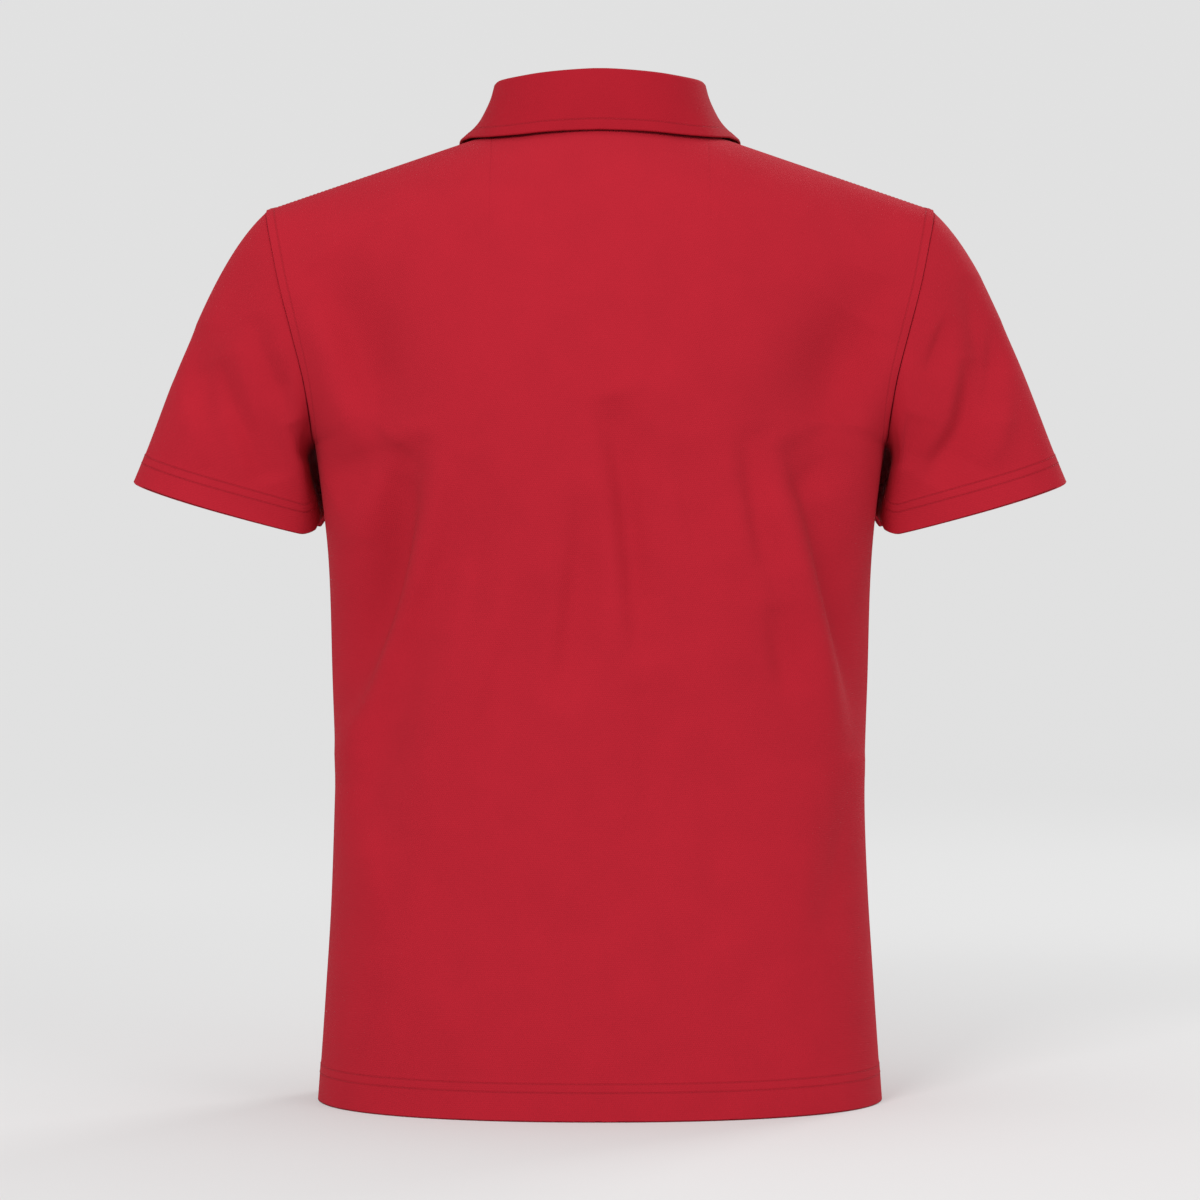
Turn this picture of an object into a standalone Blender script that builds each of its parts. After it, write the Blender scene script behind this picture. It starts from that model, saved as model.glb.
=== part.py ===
"""Short-sleeved polo shirt, filled out as it is worn, with nobody in it.

Every sewn piece is a wall of cloth: the back, the front cut open for its placket, two sleeves,
the collar's stand and leaf, the two placket bands and three buttons. The shirt faces -Y, +X is
the wearer's left, and the origin lies midway between the neck points, on the shoulder line.
"""
from collections import namedtuple
from functools import lru_cache

import bmesh
import bpy
import numpy as np
from mathutils import Matrix, Vector

# Cloth and seams, in metres.
CLOTH = 0.0015
COLLAR_CLOTH = 0.0018
SEAM_GAP = 0.0003
ARMHOLE_STEP = 0.0009
UNDERARM_LIFT = 0.0007
UNDERARM_PUSH = 1.6
SHARP_ANGLE = 0.9

# The body. Heights in the tables count from the hem, and the origin is at the neck points.
NECK_POINT_HEIGHT = 0.693
SECTION_POWER = 2.2
NECK_HALF_WIDTH = 0.077
NECK_POWER = 2.2
NECK_DEPTHS = {"back": 0.060, "front": 0.075}
LOWEST_NECK_LEVEL = 0.8
NECK_TOLERANCE = 0.0000001
YOKE_ROWS = 14
BODY_ROWS = 17

# Rows of the part above the underarm, from the shoulder seam (level 0) to the underarm (level 1).
# The edge is the armhole, and share is its depth over the depth in the middle of the same row.
YokeRow = namedtuple("YokeRow", "level edge_height edge_width share middle_height middle_depth crown")
YOKES = {
    "back": [
        YokeRow(0.00, 0.6380, 0.2400, 0.84, 0.7182, 0.000, 1.00),
        YokeRow(0.12, 0.6295, 0.2380, 0.80, 0.7125, 0.030, 1.12),
        YokeRow(0.25, 0.6060, 0.2325, 0.74, 0.6990, 0.058, 1.35),
        YokeRow(0.38, 0.5780, 0.2260, 0.66, 0.6750, 0.082, 1.60),
        YokeRow(0.52, 0.5460, 0.2175, 0.55, 0.6400, 0.103, 1.90),
        YokeRow(0.66, 0.5140, 0.2095, 0.45, 0.5970, 0.118, 2.00),
        YokeRow(0.80, 0.4870, 0.2055, 0.32, 0.5500, 0.127, 2.00),
        YokeRow(0.90, 0.4740, 0.2047, 0.19, 0.5150, 0.130, 2.00),
        YokeRow(1.00, 0.4680, 0.2045, 0.00, 0.4840, 0.130, 2.00),
    ],
    "front": [
        YokeRow(0.00, 0.6380, 0.2400, 0.84, 0.7182, 0.000, 1.00),
        YokeRow(0.12, 0.6300, 0.2360, 0.80, 0.7110, 0.028, 1.12),
        YokeRow(0.25, 0.6080, 0.2285, 0.78, 0.6920, 0.049, 1.30),
        YokeRow(0.38, 0.5800, 0.2200, 0.75, 0.6600, 0.063, 1.50),
        YokeRow(0.52, 0.5480, 0.2110, 0.68, 0.6200, 0.074, 1.70),
        YokeRow(0.66, 0.5150, 0.2050, 0.56, 0.5800, 0.087, 1.90),
        YokeRow(0.80, 0.4870, 0.2030, 0.40, 0.5420, 0.101, 2.00),
        YokeRow(0.90, 0.4740, 0.2037, 0.23, 0.5110, 0.110, 2.00),
        YokeRow(1.00, 0.4680, 0.2045, 0.00, 0.4840, 0.115, 2.00),
    ],
}

# Sections below the underarm (level 1) down to the hem (level 2).
BodyRow = namedtuple("BodyRow", "level edge_height edge_width middle_height back_depth front_depth")
MiddleRow = namedtuple("MiddleRow", "level middle_height middle_depth")
BODY = [
    BodyRow(1.00, 0.4680, 0.2045, 0.4840, 0.130, 0.115),
    BodyRow(1.14, 0.4010, 0.1965, 0.4130, 0.127, 0.118),
    BodyRow(1.35, 0.3000, 0.1925, 0.3070, 0.121, 0.117),
    BodyRow(1.50, 0.2250, 0.1904, 0.2290, 0.119, 0.116),
    BodyRow(1.66, 0.1500, 0.1926, 0.1520, 0.121, 0.118),
    BodyRow(1.82, 0.0800, 0.1968, 0.0805, 0.125, 0.121),
    BodyRow(2.00, 0.0000, 0.2023, 0.0000, 0.129, 0.125),
]

# Folds of a panel, seen square on: a soft trough (negative depth) or ridge from one end to the
# other, with the sideways bow of its middle. They fade out at their ends and at a side seam.
FOLD_END_POWER = 0.8
SEAM_STIFFNESS = 8
Fold = namedtuple("Fold", "start_x start_height end_x end_height bow width depth")
FOLDS = {
    "back": [
        Fold(0.004, 0.520, -0.034, 0.200, -0.004, 0.016, -0.0034),
        Fold(-0.026, 0.470, -0.058, 0.230, -0.004, 0.018, 0.0024),
        Fold(0.014, 0.430, 0.036, 0.270, 0.004, 0.013, -0.0020),
        Fold(0.054, 0.390, 0.078, 0.290, 0.003, 0.015, -0.0013),
        Fold(0.218, 0.600, 0.146, 0.470, -0.006, 0.020, -0.0045),
        Fold(0.160, 0.500, 0.188, 0.240, 0.010, 0.014, -0.0040),
        Fold(0.132, 0.450, 0.176, 0.230, 0.008, 0.013, 0.0030),
        Fold(0.104, 0.480, 0.180, 0.140, 0.006, 0.016, -0.0034),
        Fold(-0.214, 0.600, -0.136, 0.470, 0.008, 0.021, -0.0042),
        Fold(-0.132, 0.490, -0.190, 0.230, -0.008, 0.015, -0.0038),
        Fold(-0.116, 0.470, -0.168, 0.250, -0.008, 0.013, 0.0028),
        Fold(-0.098, 0.480, -0.134, 0.260, -0.005, 0.014, -0.0026),
    ],
    "front": [
        Fold(0.208, 0.590, 0.128, 0.450, -0.006, 0.021, -0.0040),
        Fold(-0.206, 0.585, -0.138, 0.455, 0.007, 0.020, -0.0044),
        Fold(0.140, 0.470, 0.182, 0.220, 0.008, 0.015, -0.0034),
        Fold(-0.128, 0.480, -0.184, 0.200, -0.006, 0.016, -0.0036),
        Fold(0.112, 0.440, 0.160, 0.220, 0.006, 0.014, 0.0024),
        Fold(0.036, 0.430, 0.062, 0.170, 0.004, 0.016, -0.0022),
        Fold(-0.044, 0.410, -0.076, 0.150, -0.004, 0.015, -0.0026),
        Fold(-0.092, 0.400, -0.140, 0.110, -0.004, 0.017, 0.0022),
    ],
}

# Columns of half a panel: how many in each stretch, and how they crowd towards its start. The
# stretches run from the armhole to the neck point, then to the middle, at the front by way of
# the placket's slit.
Stretch = namedtuple("Stretch", "count crowding")
COLUMNS = {
    "back": [Stretch(8, 1.0), Stretch(7, 1.6)],
    "front": [Stretch(8, 1.0), Stretch(5, 1.6), Stretch(1, 1.0)],
}

# The sleeves: a tube from the armhole to the cuff, which leans outwards and forwards.
SLEEVE_RINGS = 11
CUFF_MIDDLE = (0.2700, -0.022, 0.4244)
CUFF_HALF_WIDTH = 0.0683
CUFF_HALF_DEPTH = 0.048
CUFF_RISE = 0.2785
CUFF_DROP_BEHIND = 0.100
CUFF_INNER_LIFT = 0.008
CUFF_POWER = 2.0
CUFF_FLARE = 0.15
CUFF_LIFT_START = 0.8
SLEEVE_START = 0.78
SLEEVE_END = 0.85
RING_CROWDING = 1.15
FOLDS_BEHIND = 0.9
SLEEVE_FOLDS = [
    Fold(0.277, 0.560, 0.262, 0.480, 0.003, 0.012, -0.0030),
    Fold(0.258, 0.510, 0.240, 0.450, 0.002, 0.011, -0.0026),
    Fold(0.296, 0.520, 0.300, 0.455, 0.002, 0.012, 0.0018),
]

# The collar. Each row is one station from the middle of the back round to the front edge. The
# fold is where the leaf turns over, counted from the neck seam, and the edge is the leaf's hem.
CollarRow = namedtuple("CollarRow", "station lean rise edge_x edge_y edge_height bow")
COLLAR = [
    CollarRow(0.00, 0.005, 0.0352, 0.0000, 0.0770, 0.6873, 0.0016),
    CollarRow(0.17, 0.005, 0.0380, 0.0430, 0.0728, 0.6873, 0.0010),
    CollarRow(0.34, 0.006, 0.0374, 0.0800, 0.0480, 0.6873, 0.0000),
    CollarRow(0.47, 0.008, 0.0345, 0.0992, 0.0020, 0.6896, -0.0016),
    CollarRow(0.55, 0.009, 0.0330, 0.1025, -0.0200, 0.6868, -0.0010),
    CollarRow(0.63, 0.009, 0.0320, 0.1025, -0.0462, 0.6732, 0.0030),
    CollarRow(0.80, 0.008, 0.0305, 0.0850, -0.0730, 0.6270, 0.0045),
    CollarRow(1.00, 0.006, 0.0290, 0.0550, -0.0885, 0.5830, 0.0020),
]
ROLL_RADIUS = 0.0030
ROLL_END_ANGLE = 0.377
ROLL_STEPS = 5
LEAF_STEPS = 5
BOW_LIFT = 0.7
STAND_STEPS = 3
STAND_SEAM_GAP = 0.00045
STAND_TOP_GAP = 0.0008
COLLAR_FRONT_GAP = 0.003

# The placket and its buttons.
PLACKET_HALF_WIDTH = 0.016
PLACKET_PROUD = 0.0010
PLACKET_CLOTH = 0.0017
PLACKET_COLUMNS = 4
BUTTON_HEIGHTS = (0.606, 0.560, 0.513)
BUTTON_RADIUS = 0.0056
BUTTON_THICKNESS = 0.0024
BUTTON_RIM = 0.0011
BUTTON_EDGE = 0.0006
BUTTON_FOOT_SHARE = 0.8
BUTTON_DISH_SHARE = 0.6
BUTTON_HOLE_RADIUS = 0.0008
BUTTON_HOLE_REACH = 0.0014
BUTTON_SIDES = 24
HOLE_SIDES = 8

COLOURS = {
    "knit": (0.466, 0.019, 0.034, 1.0),
    "button": (0.420, 0.024, 0.036, 1.0),
}
SIDES = {"back": 1.0, "front": -1.0}


def clear_scene():
    for thing in list(bpy.data.objects):
        bpy.data.objects.remove(thing, do_unlink=True)


def make_material(name, colour, roughness):
    material = bpy.data.materials.new(name)
    material.use_nodes = True
    shader = material.node_tree.nodes["Principled BSDF"]
    shader.inputs["Base Color"].default_value = colour
    shader.inputs["Roughness"].default_value = roughness
    shader.inputs["Metallic"].default_value = 0.0
    return material


def smooth_through(rows, column, places, start_slope=None):
    """Values of a table's column at the given places, on a smooth curve through its rows."""
    at = np.array([row[0] for row in rows])
    value = np.array([getattr(row, column) for row in rows])
    step = np.diff(at)
    slope = np.diff(value) / step
    tangent = np.empty(len(at))
    tangent[1:-1] = (slope[:-1] * step[1:] + slope[1:] * step[:-1]) / (step[:-1] + step[1:])
    tangent[0] = 1.5 * slope[0] - 0.5 * tangent[1] if start_slope is None else start_slope
    tangent[-1] = 1.5 * slope[-1] - 0.5 * tangent[-2]
    places = np.asarray(places, dtype=float)
    index = np.clip(np.searchsorted(at, places, side="right") - 1, 0, len(at) - 2)
    t = (places - at[index]) / step[index]
    return ((2 * t**3 - 3 * t**2 + 1) * value[index]
            + (t**3 - 2 * t**2 + t) * step[index] * tangent[index]
            + (3 * t**2 - 2 * t**3) * value[index + 1]
            + (t**3 - t**2) * step[index] * tangent[index + 1])


def middle_rows(side):
    """The panel's middle line, from the shoulder level to the hem."""
    below = [MiddleRow(row.level, row.middle_height, getattr(row, side + "_depth"))
             for row in BODY[1:]]
    above = [MiddleRow(row.level, row.middle_height, row.middle_depth) for row in YOKES[side]]
    return above + below


def measures(side, level):
    """Edge height, edge width, share, middle height, middle depth and crown at each level."""
    level = np.asarray(level, dtype=float)
    above = np.clip(level, 0.0, 1.0)
    below = np.clip(level, 1.0, 2.0)
    yoke = YOKES[side]
    in_yoke = level <= 1.0
    edge_height = np.where(in_yoke, smooth_through(yoke, "edge_height", above, 0.0),
                           smooth_through(BODY, "edge_height", below))
    edge_width = np.where(in_yoke, smooth_through(yoke, "edge_width", above),
                          smooth_through(BODY, "edge_width", below))
    share = np.where(in_yoke, np.clip(smooth_through(yoke, "share", above), 0.0, 1.0), 0.0)
    middle = middle_rows(side)
    return {
        "edge_height": edge_height,
        "edge_width": edge_width,
        "middle_height": smooth_through(middle, "middle_height", level, 0.0),
        "middle_depth": smooth_through(middle, "middle_depth", level),
        "crown": np.where(in_yoke, smooth_through(yoke, "crown", above), 2.0),
        "full_width": edge_width / (1.0 - share**SECTION_POWER) ** (1.0 / SECTION_POWER),
        "edge_turn": np.arcsin(share ** (SECTION_POWER / 2.0)),
    }


def torso_points(side, level, turn):
    """Outer surface. turn runs from the wearer's left (0) over the middle to the right (pi)."""
    size = measures(side, level)
    cosine = np.cos(turn)
    across = np.sign(cosine) * np.abs(cosine) ** (2.0 / SECTION_POWER) * size["full_width"]
    out = np.abs(np.sin(turn)) ** (2.0 / SECTION_POWER) * size["middle_depth"]
    reach = np.clip(np.abs(across) / size["edge_width"], 0.0, 1.0)
    rise = (size["middle_height"] - size["edge_height"]) * (1.0 - reach ** size["crown"])
    height = size["edge_height"] + rise
    return np.stack([across, SIDES[side] * out, height], axis=-1)


def turn_at_width(size, width):
    return np.arccos((width / size["full_width"]) ** (SECTION_POWER / 2.0))


@lru_cache(maxsize=None)
def neck_column_share():
    """How far the column that ends at the neck point lies from the armhole to the middle."""
    top = measures("back", 0.0)
    neck = turn_at_width(top, NECK_HALF_WIDTH)
    return float((neck - top["edge_turn"]) / (np.pi / 2.0 - top["edge_turn"]))


@lru_cache(maxsize=None)
def column_layout(side):
    """For each column of half a panel: the stretch it lies in and its share of that stretch."""
    layout = [(0, 0.0)]
    for stretch, (count, crowding) in enumerate(COLUMNS[side]):
        for step in range(1, count + 1):
            layout.append((stretch, (step / count) ** crowding))
    return layout


def column_turns(side, column, level, slit=PLACKET_HALF_WIDTH + SEAM_GAP):
    """Turn of one of a panel's columns at each level, counted from its left edge."""
    layout = column_layout(side)
    last = 2 * (len(layout) - 1)
    size = measures(side, level)
    edge = size["edge_turn"]
    middle = np.full_like(edge, np.pi / 2.0)
    knots = [edge, edge + neck_column_share() * (middle - edge), middle]
    if side == "front":
        knots.insert(2, turn_at_width(size, slit))
    stretch, share = layout[min(column, last - column)]
    turn = knots[stretch] + share * (knots[stretch + 1] - knots[stretch])
    return turn if column <= last // 2 else np.pi - turn


def neck_level(side, turn_at):
    """Level at which the line of points with turn_at(level) meets the neck seam, by halving."""
    low = 0.0
    high = LOWEST_NECK_LEVEL
    while high - low > NECK_TOLERANCE:
        middle = 0.5 * (low + high)
        x, y, _height = torso_points(side, middle, turn_at(middle))
        reach = (abs(x) / NECK_HALF_WIDTH) ** NECK_POWER + (abs(y) / NECK_DEPTHS[side]) ** NECK_POWER
        if reach < 1.0:
            low = middle
        else:
            high = middle
    return high


def panel_points(side):
    """Grid of a panel's plain surface: rows from the top down, columns from left to right."""
    count = 2 * len(column_layout(side)) - 1
    neck_column = COLUMNS[side][0][0]
    columns = []
    for column in range(count):
        in_neck = neck_column < column < count - 1 - neck_column
        top = neck_level(side, lambda level: column_turns(side, column, level)) if in_neck else 0.0
        levels = np.concatenate([np.linspace(top, 1.0, YOKE_ROWS + 1),
                                 np.linspace(1.0, 2.0, BODY_ROWS + 1)[1:]])
        columns.append(torso_points(side, levels, column_turns(side, column, levels)))
    return np.stack(columns, axis=1)


def fold_depth(folds, x, height):
    """Sum of the folds at each point, with soft ends."""
    total = np.zeros_like(x)
    for fold in folds:
        along_x = fold.end_x - fold.start_x
        along_height = fold.end_height - fold.start_height
        length = np.hypot(along_x, along_height)
        dx = x - fold.start_x
        dh = height - fold.start_height
        along = (dx * along_x + dh * along_height) / length**2
        inside = np.clip(along, 0.0, 1.0)
        bow = fold.bow * 4.0 * inside * (1.0 - inside)
        aside = (dx * along_height - dh * along_x) / length + bow * np.sign(along_height)
        fade = (4.0 * inside * (1.0 - inside)) ** FOLD_END_POWER
        total += fold.depth * fade * np.exp(-(aside / fold.width) ** 2)
    return total


def grid_normals(points, outward):
    """Unit normals of a grid of points, turned to the side that outward points to."""
    down = np.gradient(points, axis=0)
    across = np.gradient(points, axis=1)
    normals = np.cross(down, across)
    normals /= np.linalg.norm(normals, axis=-1, keepdims=True)
    facing = np.sign(np.sum(normals * outward, axis=-1, keepdims=True))
    return normals * np.where(facing == 0.0, 1.0, facing)


@lru_cache(maxsize=None)
def panel_surface(side):
    """Outer points and normals of the back or front panel, with its folds."""
    points = panel_points(side)
    outward = points * np.array([1.0, 1.0, 0.0]) + np.array([0.0, 0.0, 0.02])
    normals = grid_normals(points, outward)
    clear_of_seam = 1.0 - np.abs(np.linspace(-1.0, 1.0, points.shape[1])) ** SEAM_STIFFNESS
    depth = fold_depth(FOLDS[side], points[..., 0], points[..., 2]) * clear_of_seam
    points = points + normals * depth[..., None]
    return points, grid_normals(points, outward)


def wall_object(name, outer, inner, material, used=None, closed=False):
    """One closed wall between two grids of points. used says which cells hold cloth."""
    rows, columns = outer.shape[:2]
    cells = np.ones((rows - 1, columns if closed else columns - 1), dtype=bool)
    if used is not None:
        cells &= used
    mesh = bmesh.new()
    shift = Vector((0.0, 0.0, -NECK_POINT_HEIGHT))
    made = {}

    def corner(layer, row, column):
        key = (layer, row, column % columns)
        if key not in made:
            source = outer if layer == 0 else inner
            made[key] = mesh.verts.new(Vector(source[row, key[2]]) + shift)
        return made[key]

    edges = {}
    for row, column in zip(*np.nonzero(cells)):
        ring = [(row, column), (row + 1, column), (row + 1, column + 1), (row, column + 1)]
        ring = [(int(r), int(c) % columns) for r, c in ring]
        mesh.faces.new([corner(0, *spot) for spot in ring])
        mesh.faces.new([corner(1, *spot) for spot in reversed(ring)])
        for first, last in zip(ring, ring[1:] + ring[:1]):
            edges.setdefault(frozenset((first, last)), []).append((first, last))
    for sides in edges.values():
        if len(sides) == 1:
            first, last = sides[0]
            mesh.faces.new([corner(0, *last), corner(0, *first), corner(1, *first), corner(1, *last)])
    bmesh.ops.recalc_face_normals(mesh, faces=mesh.faces)
    data = bpy.data.meshes.new(name)
    mesh.to_mesh(data)
    mesh.free()
    data.shade_smooth()
    data.set_sharp_from_angle(angle=SHARP_ANGLE)
    data.materials.append(material)
    thing = bpy.data.objects.new(name, data)
    bpy.context.scene.collection.objects.link(thing)
    return thing


def keep_on_side(points, side):
    """Hold a panel's points half a seam gap away from the seam plane it shares."""
    held = points.copy()
    away = SIDES[side] * held[..., 1]
    held[..., 1] = SIDES[side] * np.maximum(away + 0.5 * SEAM_GAP, 0.5 * SEAM_GAP)
    return held


def make_panel(side, material):
    points, normals = panel_surface(side)
    used = None
    if side == "front":
        used = np.ones((points.shape[0] - 1, points.shape[1] - 1), dtype=bool)
        middle = points.shape[1] // 2
        reach = COLUMNS["front"][-1].count
        used[:YOKE_ROWS, middle - reach:middle + reach] = False
    outer = keep_on_side(points, side)
    inner = keep_on_side(points - CLOTH * normals, side)
    return wall_object(side, outer, inner, material, used)


def armhole_loop():
    """The wearer's left armhole: tip, down the back, underarm and up the front."""
    rings = {}
    for side in SIDES:
        points, normals = panel_surface(side)
        rings[side] = (points[:YOKE_ROWS + 1, 0], normals[:YOKE_ROWS + 1, 0])
    points = np.concatenate([rings["back"][0], rings["front"][0][-2:0:-1]])
    normals = np.concatenate([rings["back"][1], rings["front"][1][-2:0:-1]])
    for shared in (0, YOKE_ROWS):
        normals[shared, 1] = 0.0
    normals /= np.linalg.norm(normals, axis=-1, keepdims=True)
    along = np.roll(points, -1, axis=0) - np.roll(points, 1, axis=0)
    away = np.cross(along, normals)
    away /= np.linalg.norm(away, axis=-1, keepdims=True)
    return points, normals, away


def cuff_ring(count):
    """Points of the cuff's outer edge, and which way the sleeve runs there."""
    turn = np.linspace(0.0, 2.0 * np.pi, count, endpoint=False)
    across = np.sign(np.cos(turn)) * np.abs(np.cos(turn)) ** (2.0 / CUFF_POWER)
    behind = np.sign(np.sin(turn)) * np.abs(np.sin(turn)) ** (2.0 / CUFF_POWER)
    outwards = np.array([1.0, 0.0, CUFF_RISE])
    backwards = np.array([0.0, 1.0, -CUFF_DROP_BEHIND])
    axis = -np.cross(outwards, backwards)
    axis /= np.linalg.norm(axis)
    offset = across[:, None] * CUFF_HALF_WIDTH * outwards + behind[:, None] * CUFF_HALF_DEPTH * backwards
    radial = offset / np.linalg.norm(offset, axis=-1, keepdims=True)
    run = axis + CUFF_FLARE * radial
    inner = np.clip((-across - CUFF_LIFT_START) / (1.0 - CUFF_LIFT_START), 0.0, 1.0)
    offset[:, 2] += CUFF_INNER_LIFT * inner**2
    return np.array(CUFF_MIDDLE) + offset, run / np.linalg.norm(run, axis=-1, keepdims=True)


def sleeve_surface():
    """Outer and inner points of the wearer's left sleeve."""
    seam, panel_normals, away = armhole_loop()
    count = len(seam)
    upper = (0.5 + 0.5 * np.cos(np.linspace(0.0, 2.0 * np.pi, count, endpoint=False)))[:, None]
    lift = UNDERARM_LIFT * (1.0 - upper) ** 3 - ARMHOLE_STEP * upper
    start = seam + SEAM_GAP * away + lift * panel_normals
    end, end_run = cuff_ring(count)
    chord = end - start
    length = np.linalg.norm(chord, axis=-1, keepdims=True)
    start_run = chord / length + upper * away + UNDERARM_PUSH * (1.0 - upper) ** 3 * panel_normals
    start_run /= np.linalg.norm(start_run, axis=-1, keepdims=True)
    rings = []
    for t in np.linspace(0.0, 1.0, SLEEVE_RINGS + 1) ** RING_CROWDING:
        rings.append((2 * t**3 - 3 * t**2 + 1) * start
                     + (t**3 - 2 * t**2 + t) * SLEEVE_START * length * start_run
                     + (3 * t**2 - 2 * t**3) * end
                     + (t**3 - t**2) * SLEEVE_END * length * end_run)
    outer = np.array(rings)
    normals = ring_normals(outer)
    fade = np.sin(np.linspace(0.0, np.pi, SLEEVE_RINGS + 1))[:, None] ** 0.5
    behind = np.clip(outer[..., 1] / CUFF_HALF_DEPTH + FOLDS_BEHIND, 0.0, 1.0)
    depth = fold_depth(SLEEVE_FOLDS, outer[..., 0], outer[..., 2]) * fade * behind
    outer = outer + normals * depth[..., None]
    normals = ring_normals(outer)
    lean = np.maximum(np.sum(normals[0] * away, axis=-1, keepdims=True), 0.0)
    normals[0] -= lean * away
    normals[0] /= np.linalg.norm(normals[0], axis=-1, keepdims=True)
    return outer, outer - CLOTH * normals


def ring_normals(rings):
    """Unit normals of a tube of rings, pointing away from its middle line."""
    around = np.roll(rings, -1, axis=1) - np.roll(rings, 1, axis=1)
    normals = np.cross(np.gradient(rings, axis=0), around)
    normals /= np.linalg.norm(normals, axis=-1, keepdims=True)
    outward = rings - rings.mean(axis=1, keepdims=True)
    facing = np.sum(np.sum(normals * outward, axis=-1))
    return normals * np.sign(facing)


def make_sleeve(name, mirror, material):
    outer, inner = sleeve_surface()
    flip = np.array([mirror, 1.0, 1.0])
    return wall_object(name, outer * flip, inner * flip, material, closed=True)


def neck_seam():
    """Points of the neck seam from the middle of the back to the wearer's left front edge."""
    back, _ = panel_surface("back")
    front, _ = panel_surface("front")
    neck_column = COLUMNS["back"][0].count
    back_middle = back.shape[1] // 2
    front_middle = front.shape[1] // 2
    behind = back[0, back_middle:neck_column - 1:-1]
    before = front[0, neck_column + 1:front_middle]
    end = front[0, front_middle]
    last = before[-1] + (end - before[-1]) * (1.0 - COLLAR_FRONT_GAP / before[-1, 0])
    return np.concatenate([behind, before, last[None]])


@lru_cache(maxsize=None)
def collar_lines():
    """Neck seam, fold, leaf edge and bow at each station, and the way out from the neck."""
    seam = neck_seam()
    steps = np.linalg.norm(np.diff(seam, axis=0), axis=1)
    station = np.concatenate([[0.0], np.cumsum(steps)]) / np.sum(steps)
    tangent = np.gradient(seam, axis=0)
    out = np.stack([tangent[:, 1] * -1.0, tangent[:, 0], np.zeros(len(seam))], axis=-1)
    out /= np.linalg.norm(out, axis=-1, keepdims=True)
    lean = smooth_through(COLLAR, "lean", station)
    rise = smooth_through(COLLAR, "rise", station)
    fold = seam - out * lean[:, None] + np.array([0.0, 0.0, 1.0]) * rise[:, None]
    edge = np.stack([smooth_through(COLLAR, name, station)
                     for name in ("edge_x", "edge_y", "edge_height")], axis=-1)
    bow = smooth_through(COLLAR, "bow", station)
    return seam, fold, edge, bow, out


def both_sides(half):
    """A half pattern of points, joined to its mirror image at the middle of the back."""
    mirrored = half[:0:-1] * np.array([-1.0, 1.0, 1.0])
    return np.concatenate([mirrored, half])


def thicken(lines, thickness, outward):
    """The inner side of a wall whose outer points are rows of lines."""
    grid = np.array(lines)
    normals = grid_normals(grid, outward)
    return grid, grid - thickness * normals


def make_stand(material):
    seam, fold, _edge, _bow, out = collar_lines()
    up = fold - seam
    up /= np.linalg.norm(up, axis=-1, keepdims=True)
    foot = seam + STAND_SEAM_GAP * up
    top = fold - up * (ROLL_RADIUS + 0.5 * COLLAR_CLOTH + STAND_TOP_GAP)
    shares = np.linspace(0.0, 1.0, STAND_STEPS + 1)
    lines = [both_sides(foot + (top - foot) * share) for share in shares]
    facing = both_sides(out)
    grid, inner = thicken(lines, COLLAR_CLOTH, np.array([facing] * len(lines)))
    return wall_object("collar_stand", grid, inner, material)


def leaf_surface():
    """The leaf as rows of outer points, from the stand over the roll to its edge."""
    seam, fold, edge, bow, out = collar_lines()
    up = fold - seam
    up /= np.linalg.norm(up, axis=-1, keepdims=True)
    outer_radius = ROLL_RADIUS + 0.5 * COLLAR_CLOTH
    middle = fold - up * outer_radius + out * (ROLL_RADIUS - 0.5 * COLLAR_CLOTH)
    bow_way = out + np.array([0.0, 0.0, BOW_LIFT])
    lines = []
    for angle in np.linspace(np.pi, ROLL_END_ANGLE, ROLL_STEPS + 1):
        lines.append(middle + outer_radius * (np.cos(angle) * out + np.sin(angle) * up))
    last = lines[-1]
    for share in np.linspace(0.0, 1.0, LEAF_STEPS + 1)[1:]:
        lines.append(last + (edge - last) * share + bow_way * (bow * np.sin(np.pi * share))[:, None])
    return np.array([both_sides(line) for line in lines])


def make_leaf(material):
    lines = leaf_surface()
    out = collar_lines()[-1]
    facing = np.array([both_sides(out)] * len(lines))
    lift = np.array([0.0, 0.0, 1.0])
    start = np.linspace(-1.0, 1.0, ROLL_STEPS + 1)
    for row, share in enumerate(start):
        facing[row] = share * facing[row] + (1.0 - abs(share)) * lift
    grid, inner = thicken(lines, COLLAR_CLOTH, facing)
    return wall_object("collar_leaf", grid, inner, material)


def placket_turns(level, share):
    """Turn at a share of the placket's half width, from its left edge (1) to its right (-1)."""
    turn = turn_at_width(measures("front", level), abs(share) * PLACKET_HALF_WIDTH)
    return turn if share > 0.0 else np.pi - turn


@lru_cache(maxsize=None)
def placket_surface():
    """Points and normals of the front's surface over the placket opening."""
    columns = []
    for share in np.linspace(1.0, -1.0, PLACKET_COLUMNS + 1):
        top = neck_level("front", lambda level: placket_turns(level, share))
        levels = np.linspace(top, 1.0, YOKE_ROWS + 1)
        columns.append(torso_points("front", levels, placket_turns(levels, share)))
    points = np.stack(columns, axis=1)
    points[-1, :, 2] += SEAM_GAP
    outward = np.zeros_like(points) + np.array([0.0, -1.0, 0.2])
    return points, grid_normals(points, outward)


def make_placket(name, offset, material):
    points, normals = placket_surface()
    outer = points + offset * normals
    return wall_object(name, outer, outer - PLACKET_CLOTH * normals, material)


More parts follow.
